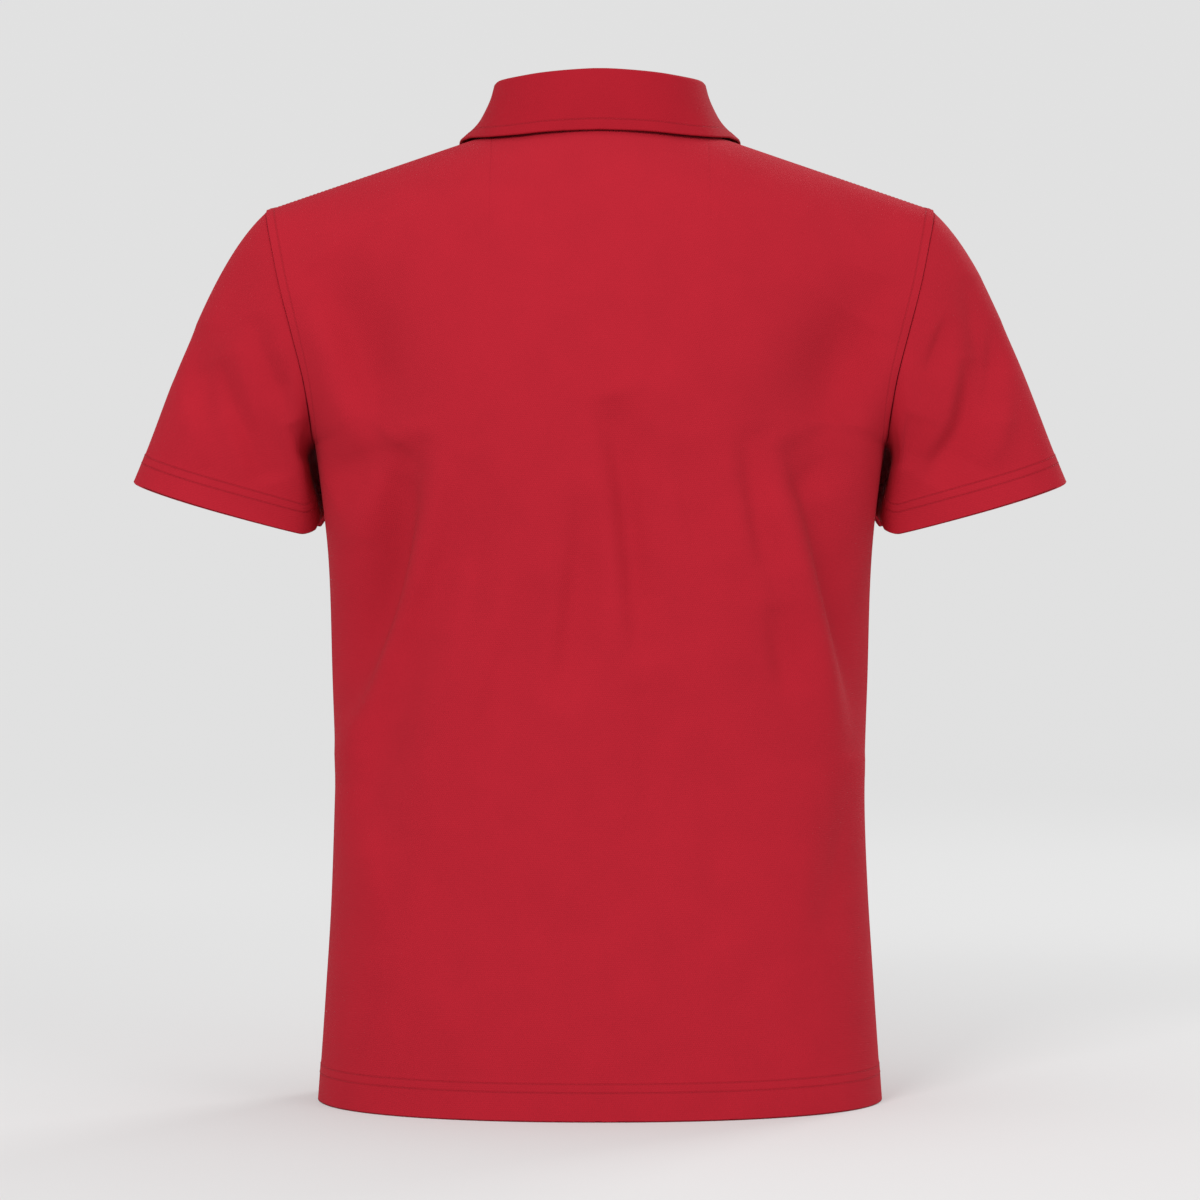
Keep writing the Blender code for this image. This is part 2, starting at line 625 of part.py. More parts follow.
def button_mesh(material):
    """A four-hole button: a disc with a raised rim and a sunk middle."""
    mesh = bmesh.new()
    dish = BUTTON_THICKNESS - BUTTON_EDGE
    profile = [(0.0, 0.0), (BUTTON_FOOT_SHARE * BUTTON_RADIUS, 0.0), (BUTTON_RADIUS, BUTTON_EDGE),
               (BUTTON_RADIUS, dish), (BUTTON_RADIUS - BUTTON_EDGE, BUTTON_THICKNESS),
               (BUTTON_RADIUS - BUTTON_RIM, BUTTON_THICKNESS),
               (BUTTON_DISH_SHARE * BUTTON_RADIUS, dish), (0.0, dish)]
    verts = [mesh.verts.new((radius, 0.0, height)) for radius, height in profile]
    edges = [mesh.edges.new(pair) for pair in zip(verts[:-1], verts[1:])]
    bmesh.ops.spin(mesh, geom=verts + edges, cent=(0, 0, 0), axis=(0, 0, 1),
                   angle=2.0 * np.pi, steps=BUTTON_SIDES, use_merge=True)
    bmesh.ops.remove_doubles(mesh, verts=mesh.verts, dist=0.00001)
    bmesh.ops.recalc_face_normals(mesh, faces=mesh.faces)
    data = bpy.data.meshes.new("button")
    mesh.to_mesh(data)
    mesh.free()
    data.materials.append(material)
    return data


def hole_cutter():
    """Four short rods that cut the thread holes."""
    mesh = bmesh.new()
    for quarter in range(4):
        angle = (quarter + 0.5) * np.pi / 2.0
        place = Matrix.Translation((BUTTON_HOLE_REACH * np.cos(angle), BUTTON_HOLE_REACH * np.sin(angle),
                                    0.5 * BUTTON_THICKNESS))
        bmesh.ops.create_cone(mesh, cap_ends=True, segments=HOLE_SIDES, radius1=BUTTON_HOLE_RADIUS,
                              radius2=BUTTON_HOLE_RADIUS, depth=3.0 * BUTTON_THICKNESS, matrix=place)
    data = bpy.data.meshes.new("button_holes")
    mesh.to_mesh(data)
    mesh.free()
    cutter = bpy.data.objects.new("button_holes", data)
    cutter.hide_render = True
    cutter.display_type = "WIRE"
    bpy.context.scene.collection.objects.link(cutter)
    return cutter


def make_buttons(material):
    points, normals = placket_surface()
    line = points[:, 2] + (PLACKET_PROUD + SEAM_GAP) * normals[:, 2]
    data = button_mesh(material)
    for number, height in enumerate(BUTTON_HEIGHTS, start=1):
        place = [np.interp(height, line[::-1, 2], line[::-1, axis]) for axis in range(3)]
        facing = [np.interp(height, line[::-1, 2], normals[::-1, 2, axis]) for axis in range(3)]
        button = bpy.data.objects.new(f"button_{number}", data)
        turn = Vector(facing).to_track_quat("Z", "Y").to_matrix().to_4x4()
        button.matrix_world = Matrix.Translation(Vector(place) - Vector((0, 0, NECK_POINT_HEIGHT))) @ turn
        bpy.context.scene.collection.objects.link(button)
        cutter = hole_cutter()
        cutter.parent = button
        cut = button.modifiers.new("thread holes", "BOOLEAN")
        cut.operation = "DIFFERENCE"
        cut.object = cutter


clear_scene()
knit = make_material("red pique knit", COLOURS["knit"], 0.85)
button_resin = make_material("red button resin", COLOURS["button"], 0.35)
make_panel("back", knit)
make_panel("front", knit)
make_sleeve("sleeve_left", 1.0, knit)
make_sleeve("sleeve_right", -1.0, knit)
make_stand(knit)
make_leaf(knit)
make_placket("placket_upper", PLACKET_PROUD, knit)
make_placket("placket_under", PLACKET_PROUD - PLACKET_CLOTH - SEAM_GAP, knit)
make_buttons(button_resin)
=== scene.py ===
"""A red short-sleeved polo shirt, filled out as it is worn, with nobody in it.

The sections follow the shirt as it is put together: back, front, sleeves, placket, collar,
topstitching and buttons, then the studio. Everything is in metres. Heights in the tables count
from the hem, and the origin is midway between the neck points. The shirt faces -Y.
"""

from collections import namedtuple
from functools import cache

import bpy
import numpy as np
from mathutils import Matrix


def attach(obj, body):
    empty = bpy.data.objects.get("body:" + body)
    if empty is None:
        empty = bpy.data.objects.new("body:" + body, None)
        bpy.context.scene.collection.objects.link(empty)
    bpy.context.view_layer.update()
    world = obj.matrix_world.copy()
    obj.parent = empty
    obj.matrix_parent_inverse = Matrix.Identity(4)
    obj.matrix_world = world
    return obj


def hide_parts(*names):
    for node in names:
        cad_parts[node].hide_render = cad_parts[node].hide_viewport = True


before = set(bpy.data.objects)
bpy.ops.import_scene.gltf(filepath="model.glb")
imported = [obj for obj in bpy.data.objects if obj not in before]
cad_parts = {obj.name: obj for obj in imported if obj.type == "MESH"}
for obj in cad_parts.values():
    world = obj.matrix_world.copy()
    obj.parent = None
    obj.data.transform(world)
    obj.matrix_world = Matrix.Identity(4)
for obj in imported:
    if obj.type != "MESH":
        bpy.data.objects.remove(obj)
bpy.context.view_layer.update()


# The back: one piece of cotton pique knit, cut from the shoulder seams to the hem, and sewn to the
# front at the shoulders and sides. Worn, it curves round the shoulder blades, hollows a little at
# the waist and falls in long soft folds. Its hem is turned up and sewn with a twin needle.
NECK_POINT_HEIGHT = 0.693
SECTION_POWER = 2.2
NECK_HALF_WIDTH = 0.077
NECK_POWER = 2.2
NECK_DEPTHS = {"back": 0.060}
LOWEST_NECK_LEVEL = 0.8
HALVINGS = 24
SIDES = {"back": 1.0, "front": -1.0}
LEVEL = np.array([1.0, 1.0, 0.0])
UP = np.array([0.0, 0.0, 1.0])
CLOTH = 0.0013
HEM_CLOTH = 0.0020
HEM_HEIGHT = 0.0265
HEM_RAISE = 0.00035
SEAM_GAP = 0.0002
EDGE_ROUND = 0.36
SHORTEST = 1e-9
SHORTEST_SQUARED = 1e-12
SEAM_STIFFNESS = 8
FOLD_END_POWER = 0.8
SEAM_SHARE = 0.55
FACING_RISE = 0.02
EdgeStep = namedtuple("EdgeStep", "before past")
WELT_WIDTH = 0.0062
WELT_RAISE = 0.00045
WELT_STEP = EdgeStep(-0.0008, 0.0012)
HEM_STEP = EdgeStep(-0.0010, 0.0020)
SHOULDER_STITCH = 0.0060
HEM_STITCHES = (0.0200, 0.0260)
YOKE_LINES = np.linspace(0.0, 1.0, 91) ** 1.15
BODY_LINES = 2.0 - (1.0 - np.linspace(0.0, 1.0, 121)[1:]) ** 1.4

YokeRow = namedtuple(
    "YokeRow", "level edge_height edge_width share middle_height middle_depth crown")
YOKES = {
    "back": [
        YokeRow(0.00, 0.6380, 0.2400, 0.84, 0.7182, 0.000, 1.00),
        YokeRow(0.12, 0.6295, 0.2380, 0.80, 0.7125, 0.030, 1.12),
        YokeRow(0.25, 0.6060, 0.2325, 0.74, 0.6990, 0.058, 1.35),
        YokeRow(0.38, 0.5780, 0.2260, 0.66, 0.6750, 0.082, 1.60),
        YokeRow(0.52, 0.5460, 0.2175, 0.55, 0.6400, 0.103, 1.90),
        YokeRow(0.66, 0.5140, 0.2095, 0.45, 0.5970, 0.118, 2.00),
        YokeRow(0.80, 0.4870, 0.2055, 0.32, 0.5500, 0.127, 2.00),
        YokeRow(0.90, 0.4740, 0.2047, 0.19, 0.5150, 0.130, 2.00),
        YokeRow(1.00, 0.4680, 0.2045, 0.00, 0.4840, 0.130, 2.00),
    ],
}
BodyRow = namedtuple("BodyRow", "level edge_height edge_width middle_height back_depth front_depth")
MiddleRow = namedtuple("MiddleRow", "level middle_height middle_depth")
BODY = [
    BodyRow(1.00, 0.4680, 0.2045, 0.4840, 0.130, 0.115),
    BodyRow(1.14, 0.4010, 0.1965, 0.4130, 0.127, 0.118),
    BodyRow(1.35, 0.3000, 0.1925, 0.3070, 0.121, 0.117),
    BodyRow(1.50, 0.2250, 0.1904, 0.2290, 0.119, 0.116),
    BodyRow(1.66, 0.1500, 0.1926, 0.1520, 0.121, 0.118),
    BodyRow(1.82, 0.0800, 0.1968, 0.0805, 0.125, 0.121),
    BodyRow(2.00, 0.0000, 0.2023, 0.0000, 0.129, 0.125),
]
Fold = namedtuple("Fold", "path width depth lean", defaults=[1.0])
PathPoint = namedtuple("PathPoint", "at x height")
PATH_STEPS = 12
STEEP_SIDE = 0.85
GENTLE_SIDE = 1.8
FOLDS = {
    "back": [
        Fold([(-0.003, 0.497), (-0.016, 0.445), (-0.021, 0.404), (-0.024, 0.373), (-0.028, 0.315)],
             0.0120, -0.0145),
        Fold([(-0.012, 0.480), (-0.026, 0.430), (-0.034, 0.370), (-0.037, 0.320)], 0.0137, 0.0050),
        Fold([(-0.026, 0.300), (-0.034, 0.250), (-0.042, 0.190)], 0.0137, -0.0042),
        Fold([(0.009, 0.435), (0.016, 0.373), (0.021, 0.332), (0.030, 0.280)], 0.0106, -0.0072),
        Fold([(0.045, 0.375), (0.056, 0.343), (0.076, 0.281), (0.086, 0.235)], 0.0137, -0.0042),
        Fold([(0.128, 0.476), (0.137, 0.436), (0.147, 0.399), (0.160, 0.357), (0.174, 0.315),
              (0.183, 0.268)], 0.0175, -0.0185, -1.0),
        Fold([(0.142, 0.446), (0.165, 0.357), (0.180, 0.315), (0.187, 0.250)], 0.0220, -0.0110),
        Fold([(0.119, 0.460), (0.130, 0.400), (0.143, 0.358), (0.160, 0.316), (0.174, 0.274),
              (0.184, 0.232)], 0.0125, 0.0068, -1.0),
        Fold([(0.094, 0.458), (0.105, 0.405), (0.111, 0.380), (0.132, 0.336), (0.152, 0.290),
              (0.163, 0.227), (0.168, 0.180)], 0.0160, -0.0130),
        Fold([(-0.120, 0.474), (-0.138, 0.426), (-0.148, 0.386), (-0.159, 0.345), (-0.168, 0.312),
              (-0.181, 0.255)], 0.0125, 0.0081),
        Fold([(-0.134, 0.470), (-0.150, 0.424), (-0.162, 0.386), (-0.174, 0.343), (-0.185, 0.290),
              (-0.190, 0.245)], 0.0185, -0.0195),
        Fold([(-0.103, 0.478), (-0.110, 0.415), (-0.115, 0.375)], 0.0112, -0.0072),
        Fold([(-0.117, 0.355), (-0.125, 0.322), (-0.135, 0.290)], 0.0112, -0.0054),
        Fold([(-0.053, 0.465), (-0.062, 0.425), (-0.073, 0.385)], 0.0100, -0.0040),
        Fold([(0.207, 0.583), (0.192, 0.540), (0.183, 0.501), (0.178, 0.470)], 0.0112, 0.0059),
        Fold([(0.207, 0.592), (0.189, 0.565), (0.176, 0.542), (0.167, 0.516), (0.158, 0.490),
              (0.154, 0.470)], 0.0185, -0.0165),
        Fold([(0.150, 0.474), (0.157, 0.464), (0.168, 0.454), (0.185, 0.446), (0.194, 0.442)],
             0.0150, -0.0105),
        Fold([(0.146, 0.476), (0.160, 0.443), (0.167, 0.424), (0.176, 0.395)], 0.0100, 0.0054),
        Fold([(-0.199, 0.585), (-0.190, 0.555), (-0.184, 0.532), (-0.179, 0.509), (-0.175, 0.480)],
             0.0180, -0.0155, -1.0),
        Fold([(-0.192, 0.552), (-0.168, 0.505), (-0.157, 0.465), (-0.160, 0.430)],
             0.0300, -0.0130, -1.0),
        Fold([(0.070, 0.440), (0.086, 0.370), (0.098, 0.300)], 0.0108, -0.0035),
        Fold([(-0.088, 0.455), (-0.106, 0.380), (-0.120, 0.300)], 0.0120, 0.0035),
        Fold([(-0.178, 0.466), (-0.150, 0.437), (-0.124, 0.425)], 0.0108, -0.0035),
        Fold([(0.184, 0.225), (0.166, 0.180), (0.150, 0.120)], 0.0144, 0.0035),
        Fold([(-0.186, 0.235), (-0.172, 0.180), (-0.160, 0.120)], 0.0144, -0.0038),
        Fold([(-0.150, 0.240), (-0.140, 0.180), (-0.136, 0.110)], 0.0156, 0.0032),
        Fold([(0.012, 0.330), (0.020, 0.230), (0.021, 0.130)], 0.0144, 0.0026),
        Fold([(-0.066, 0.270), (-0.080, 0.200), (-0.084, 0.120)], 0.0156, -0.0030),
        Fold([(0.100, 0.200), (0.112, 0.140), (0.118, 0.080)], 0.0168, -0.0030),
    ],
}
Stretch = namedtuple("Stretch", "count crowding")
COLUMNS = {"back": [Stretch(64, 1.3), Stretch(28, 1.25)]}


def unit(vectors):
    return vectors / np.linalg.norm(vectors, axis=-1, keepdims=True)


def smooth_run(t, first, first_run, last, last_run):
    """The way from first to last that leaves and arrives with the given runs, at 0 <= t <= 1."""
    return ((2 * t**3 - 3 * t**2 + 1) * first + (t**3 - 2 * t**2 + t) * first_run
            + (3 * t**2 - 2 * t**3) * last + (t**3 - t**2) * last_run)


def smooth_through(rows, column, places, start_slope=None):
    """Values of a table's column at the given places, on a smooth curve through its rows."""
    at = np.array([row[0] for row in rows])
    value = np.array([getattr(row, column) for row in rows])
    step = np.diff(at)
    slope = np.diff(value) / step
    tangent = np.empty(len(at))
    tangent[1:-1] = (slope[:-1] * step[1:] + slope[1:] * step[:-1]) / (step[:-1] + step[1:])
    tangent[0] = 1.5 * slope[0] - 0.5 * tangent[1] if start_slope is None else start_slope
    tangent[-1] = 1.5 * slope[-1] - 0.5 * tangent[-2]
    places = np.asarray(places, dtype=float)
    index = np.clip(np.searchsorted(at, places, side="right") - 1, 0, len(at) - 2)
    step = step[index]
    return smooth_run((places - at[index]) / step, value[index], step * tangent[index],
                      value[index + 1], step * tangent[index + 1])


def measures(side, level):
    """Edge height, edge width, share, middle height, middle depth and crown at each level."""
    level = np.asarray(level, dtype=float)
    above = np.clip(level, 0.0, 1.0)
    below = np.clip(level, 1.0, 2.0)
    yoke = YOKES[side]
    in_yoke = level <= 1.0
    middle = [MiddleRow(row.level, row.middle_height, row.middle_depth) for row in yoke]
    middle += [MiddleRow(row.level, row.middle_height, getattr(row, side + "_depth"))
               for row in BODY[1:]]
    edge_width = np.where(in_yoke, smooth_through(yoke, "edge_width", above),
                          smooth_through(BODY, "edge_width", below))
    share = np.where(in_yoke, np.clip(smooth_through(yoke, "share", above), 0.0, 1.0), 0.0)
    return {
        "edge_height": np.where(in_yoke, smooth_through(yoke, "edge_height", above, 0.0),
                                smooth_through(BODY, "edge_height", below)),
        "edge_width": edge_width,
        "middle_height": smooth_through(middle, "middle_height", level, 0.0),
        "middle_depth": smooth_through(middle, "middle_depth", level),
        "crown": np.where(in_yoke, smooth_through(yoke, "crown", above), 2.0),
        "full_width": edge_width / (1.0 - share**SECTION_POWER) ** (1.0 / SECTION_POWER),
        "edge_turn": np.arcsin(share ** (SECTION_POWER / 2.0)),
    }


def torso_points(side, level, turn):
    """Outer surface. turn runs from the wearer's left (0) over the middle to the right (pi)."""
    size = measures(side, level)
    cosine = np.cos(turn)
    across = np.sign(cosine) * np.abs(cosine) ** (2.0 / SECTION_POWER) * size["full_width"]
    out = np.abs(np.sin(turn)) ** (2.0 / SECTION_POWER) * size["middle_depth"]
    reach = np.clip(np.abs(across) / size["edge_width"], 0.0, 1.0)
    rise = (size["middle_height"] - size["edge_height"]) * (1.0 - reach ** size["crown"])
    return np.stack([across, SIDES[side] * out, size["edge_height"] + rise], axis=-1)


def turn_at_width(size, width):
    return np.arccos((width / size["full_width"]) ** (SECTION_POWER / 2.0))


@cache
def neck_column_share():
    """How far the column that ends at the neck point lies from the armhole to the middle."""
    top = measures("back", 0.0)
    neck = turn_at_width(top, NECK_HALF_WIDTH)
    return float((neck - top["edge_turn"]) / (np.pi / 2.0 - top["edge_turn"]))


@cache
def column_layout(side):
    """For each column of a panel: its stretch, its share of it, and if it is on the right."""
    stretches = [0]
    shares = [0.0]
    for number, (count, crowding) in enumerate(COLUMNS[side]):
        stretches += [number] * count
        shares += list((np.arange(1, count + 1) / count) ** crowding)
    half = len(stretches)
    order = np.concatenate([np.arange(half), np.arange(half - 2, -1, -1)])
    on_right = np.arange(2 * half - 1) >= half
    return np.array(stretches)[order], np.array(shares)[order], on_right


def column_turns(side, level, slit=0.0):
    """Turn of every column of a panel at the levels, an array with one column for each."""
    stretches, shares, on_right = column_layout(side)
    size = measures(side, level)
    edge = size["edge_turn"]
    middle = np.full_like(edge, np.pi / 2.0)
    knots = [edge, edge + neck_column_share() * (middle - edge), middle]
    if slit:
        knots.insert(2, turn_at_width(size, slit))
    knots = np.stack(knots)
    columns = np.broadcast_to(stretches, edge.shape)
    first = np.take_along_axis(knots, columns[None], axis=0)[0]
    last = np.take_along_axis(knots, columns[None] + 1, axis=0)[0]
    turn = first + shares * (last - first)
    return np.where(on_right, np.pi - turn, turn)


def neck_levels(side, turn_at, count):
    """Level at which each of count lines of points meets the neck seam, found by halving."""
    low = np.zeros(count)
    high = np.full(count, LOWEST_NECK_LEVEL)
    for _ in range(HALVINGS):
        middle = 0.5 * (low + high)
        points = torso_points(side, middle, turn_at(middle))
        reach = ((np.abs(points[..., 0]) / NECK_HALF_WIDTH) ** NECK_POWER
                 + (np.abs(points[..., 1]) / NECK_DEPTHS[side]) ** NECK_POWER)
        low = np.where(reach < 1.0, middle, low)
        high = np.where(reach < 1.0, high, middle)
    return high


def fold_depth(folds, x, height, lean=1.0):
    """Sum at each point of the folds: troughs and ridges along smooth paths, with soft ends.

    A trough is steep on its +X side and gentle on the other, a ridge the other way about.
    A lean of -1, of a fold or of them all, turns that round.
    """
    total = np.zeros_like(x)
    for fold in folds:
        corners = np.array(fold.path)
        at = np.concatenate([[0.0], np.cumsum(np.linalg.norm(np.diff(corners, axis=0), axis=1))])
        rows = [PathPoint(*values) for values in zip(at / at[-1], corners[:, 0], corners[:, 1])]
        places = np.linspace(0.0, 1.0, PATH_STEPS + 1)
        line_x = smooth_through(rows, "x", places)
        line_height = smooth_through(rows, "height", places)
        nearest = np.full_like(x, np.inf)
        along = np.zeros_like(x)
        beside = np.zeros_like(x)
        for step in range(PATH_STEPS):
            run_x = line_x[step + 1] - line_x[step]
            run_height = line_height[step + 1] - line_height[step]
            dx = x - line_x[step]
            dh = height - line_height[step]
            t = np.clip((dx * run_x + dh * run_height) / (run_x**2 + run_height**2), 0.0, 1.0)
            gap = np.hypot(dx - t * run_x, dh - t * run_height)
            along = np.where(gap < nearest, (step + t) / PATH_STEPS, along)
            beside = np.where(gap < nearest, run_x * dh - run_height * dx, beside)
            nearest = np.minimum(gap, nearest)
        fade = (4.0 * along * (1.0 - along)) ** FOLD_END_POWER
        gentle = beside * fold.depth * fold.lean * lean > 0.0
        width = fold.width * np.where(gentle, GENTLE_SIDE, STEEP_SIDE)
        total += fold.depth * fade * np.exp(-(nearest / width) ** 2)
    return total


def grid_normals(points, outward):
    """Unit normals of a grid of points, turned to the side that outward points to."""
    normals = unit(np.cross(np.gradient(points, axis=0), np.gradient(points, axis=1)))
    facing = np.sign(np.sum(normals * outward, axis=-1, keepdims=True))
    return normals * np.where(facing == 0.0, 1.0, facing)


def distance_to_line(points, line):
    """Shortest way from each point to a line of points."""
    flat = points.reshape(-1, 3)
    nearest = np.full(len(flat), np.inf)
    for first, last in zip(line[:-1], line[1:]):
        run = last - first
        t = np.clip((flat - first) @ run / max(run @ run, SHORTEST_SQUARED), 0.0, 1.0)
        gap = flat - first - t[:, None] * run
        nearest = np.minimum(nearest, np.einsum("ij,ij->i", gap, gap))
    return np.sqrt(nearest).reshape(points.shape[:-1])


def soft_step(value, low, high):
    """1 below low and 0 above high, with a smooth way between."""
    t = np.clip((value - low) / (high - low), 0.0, 1.0)
    return 1.0 - t * t * (3.0 - 2.0 * t)


def doubled(distance, width, step):
    """1 where cloth is doubled, up to a width from an edge, and 0 past it."""
    return soft_step(distance, width + step.before, width + step.past)


def hem_wall(hem, height):
    """Thickness of the wall at each distance from a turned-up hem's edge."""
    return CLOTH + (HEM_CLOTH - CLOTH) * soft_step(hem, height, height + HEM_STEP.past)


def length_along(points, axis):
    """Length of cloth from the first row or column to each point."""
    steps = np.linalg.norm(np.diff(points, axis=axis), axis=-1)
    start = np.zeros_like(np.take(steps, [0], axis=axis))
    return np.cumsum(np.concatenate([start, steps], axis=axis), axis=axis)


Panel = namedtuple("Panel", "points normals thickness cloth hem armhole shoulder")


@cache
def panel_surface(side, slit=0.0):
    """A panel's outer points, normals, wall, cloth lengths and distances from its edges."""
    stretches, shares, _ = column_layout(side)
    count = len(stretches)
    top = neck_levels(side, lambda level: column_turns(side, level, slit), count)
    top = np.where(stretches > 0, top, 0.0)
    level = np.concatenate([top + (1.0 - top) * YOKE_LINES[:, None],
                            BODY_LINES[:, None] + 0.0 * top])
    points = torso_points(side, level, column_turns(side, level, slit))
    outward = points * LEVEL + FACING_RISE * UP
    normals = grid_normals(points, outward)
    from_edge = np.where(stretches == 0, SEAM_SHARE * shares, SEAM_SHARE)
    clear_of_seam = 1.0 - (1.0 - from_edge) ** SEAM_STIFFNESS
    depth = fold_depth(FOLDS[side], points[..., 0], points[..., 2]) * clear_of_seam
    points = points + normals * depth[..., None]
    normals = grid_normals(points, outward)
    down = length_along(points, 0)
    hem = down[-1] - down
    left = points[:len(YOKE_LINES), 0]
    right = points[:len(YOKE_LINES), -1]
    armhole = np.minimum(distance_to_line(points, left), distance_to_line(points, right))
    neck_columns = COLUMNS[side][0].count
    shoulder = np.minimum(distance_to_line(points, points[0, :neck_columns + 1]),
                          distance_to_line(points, points[0, -neck_columns - 1:]))
    raised = np.maximum(WELT_RAISE * doubled(armhole, WELT_WIDTH, WELT_STEP),
                        HEM_RAISE * doubled(hem, HEM_HEIGHT, HEM_STEP))
    points = points + normals * raised[..., None]
    thickness = hem_wall(hem, HEM_HEIGHT)
    across = length_along(points * LEVEL, 1)
    across = across - across[:, [count // 2]]
    cloth = np.stack([across, down - down[len(YOKE_LINES) - 1]], axis=-1)
    return Panel(points, normals, thickness, cloth, hem, armhole, shoulder)


def add_object(name, data):
    item = bpy.data.objects.new(name, data)
    bpy.context.scene.collection.objects.link(item)
    return item


def keep_on_side(points, side):
    """Hold a panel's points half a seam gap away from the seam plane it shares."""
    held = points.copy()
    away = SIDES[side] * held[..., 1] + 0.5 * SEAM_GAP
    held[..., 1] = SIDES[side] * np.maximum(away, 0.5 * SEAM_GAP)
    return held


def wall_mesh(name, outer, inner, maps, used=None, closed=False):
    """A wall of cloth between two grids of points, rounded at its cut edges.

    used says which cells hold cloth, closed joins the last column to the first, and maps are
    pairs of numbers for each point, kept as UV maps.
    """
    rows, columns = outer.shape[:2]
    across = columns if closed else columns - 1
    cells = np.ones((rows - 1, across), dtype=bool) if used is None else used
    number = np.arange(rows * columns).reshape(rows, columns)
    r, c = np.nonzero(cells)
    ahead = (c + 1) % columns
    quads = np.stack([number[r, c], number[r + 1, c],
                      number[r + 1, ahead], number[r, ahead]], axis=1)
    flat_outer = outer.reshape(-1, 3).copy()
    flat_inner = inner.reshape(-1, 3).copy()
    middle = len(quads) // 2
    a, b, d = (flat_outer[quads[middle, corner]] for corner in (0, 1, 3))
    if np.dot(np.cross(b - a, d - a), a - flat_inner[quads[middle, 0]]) < 0.0:
        quads = quads[:, ::-1]
    edges = np.concatenate([quads[:, [k, (k + 1) % 4]] for k in range(4)])
    owner = np.tile(np.arange(len(quads)), 4)
    key = np.sort(edges, axis=1) @ np.array([rows * columns, 1])
    _, where, times = np.unique(key, return_index=True, return_counts=True)
    rim_edges = edges[where[times == 1]]
    rim_owner = owner[where[times == 1]]
    rim_points = np.unique(rim_edges)
    centres = flat_outer[quads].mean(axis=1)
    push = np.zeros_like(flat_outer)
    for column in (0, 1):
        way = flat_outer[rim_edges[:, column]] - centres[rim_owner]
        np.add.at(push, rim_edges[:, column], unit(way))
    along = np.zeros_like(flat_outer)
    run = unit(flat_outer[rim_edges[:, 1]] - flat_outer[rim_edges[:, 0]])
    np.add.at(along, rim_edges[:, 0], run)
    np.add.at(along, rim_edges[:, 1], run)
    push = push[rim_points]
    along = along[rim_points]
    through = flat_outer[rim_points] - flat_inner[rim_points]
    wall = np.linalg.norm(through, axis=1, keepdims=True)
    through /= wall
    along /= np.maximum(np.linalg.norm(along, axis=1, keepdims=True), SHORTEST)
    push -= np.sum(push * through, axis=1, keepdims=True) * through
    push -= np.sum(push * along, axis=1, keepdims=True) * along
    push /= np.maximum(np.linalg.norm(push, axis=1, keepdims=True), SHORTEST)
    rim = 0.5 * (flat_outer[rim_points] + flat_inner[rim_points])
    flat_outer[rim_points] -= EDGE_ROUND * wall * push
    flat_inner[rim_points] -= EDGE_ROUND * wall * push
    place = np.zeros(rows * columns, dtype=int)
    place[rim_points] = np.arange(len(rim_points)) + 2 * rows * columns
    first, last = rim_edges[:, 0], rim_edges[:, 1]
    inside = rows * columns
    faces = np.concatenate([
        quads,
        quads[:, ::-1] + inside,
        np.stack([last, first, place[first], place[last]], axis=1),
        np.stack([first + inside, last + inside, place[last], place[first]], axis=1),
    ])
    verts = np.concatenate([flat_outer, flat_inner, rim])
    verts[:, 2] -= NECK_POINT_HEIGHT
    kept, faces = np.unique(faces, return_inverse=True)
    faces = faces.reshape(-1, 4)
    data = bpy.data.meshes.new(name)
    data.from_pydata(verts[kept].tolist(), [], faces.tolist())
    data.shade_smooth()
    corners = np.empty(len(data.loops), dtype=np.int32)
    data.loops.foreach_get("vertex_index", corners)
    for map_name, pairs in maps.items():
        flat = pairs.reshape(-1, 2)
        values = np.concatenate([flat, flat, flat[rim_points]])[kept][corners]
        layer = data.uv_layers.new(name=map_name)
        layer.data.foreach_set("uv", values.astype(np.float32).ravel())
    return add_object(name, data)


NODE_COLUMNS = 8
NODE_WIDTH = 200
NODE_DEPTH = 320


def feed(tree, node, values):
    """Set a node's inputs, or link them where the value is another node's output."""
    for name, value in values.items():
        if isinstance(value, bpy.types.NodeSocket):
            tree.links.new(value, node.inputs[name])
        else:
            node.inputs[name].default_value = value


def add_node(tree, kind, inputs=None, **settings):
    """A new node with its inputs, set down in rows beside the others of its tree."""
    row, column = divmod(len(tree.nodes), NODE_COLUMNS)
    node = tree.nodes.new(kind)
    node.location = (column * NODE_WIDTH, -row * NODE_DEPTH)
    for setting, value in settings.items():
        setattr(node, setting, value)
    feed(tree, node, inputs or {})
    return node


def new_material(name, values):
    """A material of one Principled shader with the given inputs, its tree and its shader."""
    material = bpy.data.materials.new(name)
    material.use_nodes = True
    shader = material.node_tree.nodes["Principled BSDF"]
    feed(material.node_tree, shader, values)
    return material, material.node_tree, shader


def add_socket(tree, name, way, kind, value=None):
    socket = tree.interface.new_socket(name, in_out=way, socket_type="NodeSocket" + kind)
    if value is not None:
        socket.default_value = value


def put_math(tree, operation, *values):
    """A Math node with its inputs linked or set; gives its output."""
    node = add_node(tree, "ShaderNodeMath", dict(enumerate(values)), operation=operation)
    return node.outputs[0]


CELL_SIZE = 0.0013
CELL_HEIGHT = 0.00008
CELL_RELIEF = 0.33
# Painted shade and light: the knit's colour is darker between its raised cells and lighter on their
# tops.
CELL_PAINTED_SHADE = 0.018
FUZZ = {"Scale": 1500.0, "Detail": 2.0}
FUZZ_SHADE = 0.10
SLOW_TONE = {"Scale": 34.0, "Detail": 4.0}
SLOW_SHADE = 0.13
KNIT_BRIGHTNESS = 0.885
KNIT_ROUGHNESS = 0.78
FUZZ_ROUGHNESS = 0.10


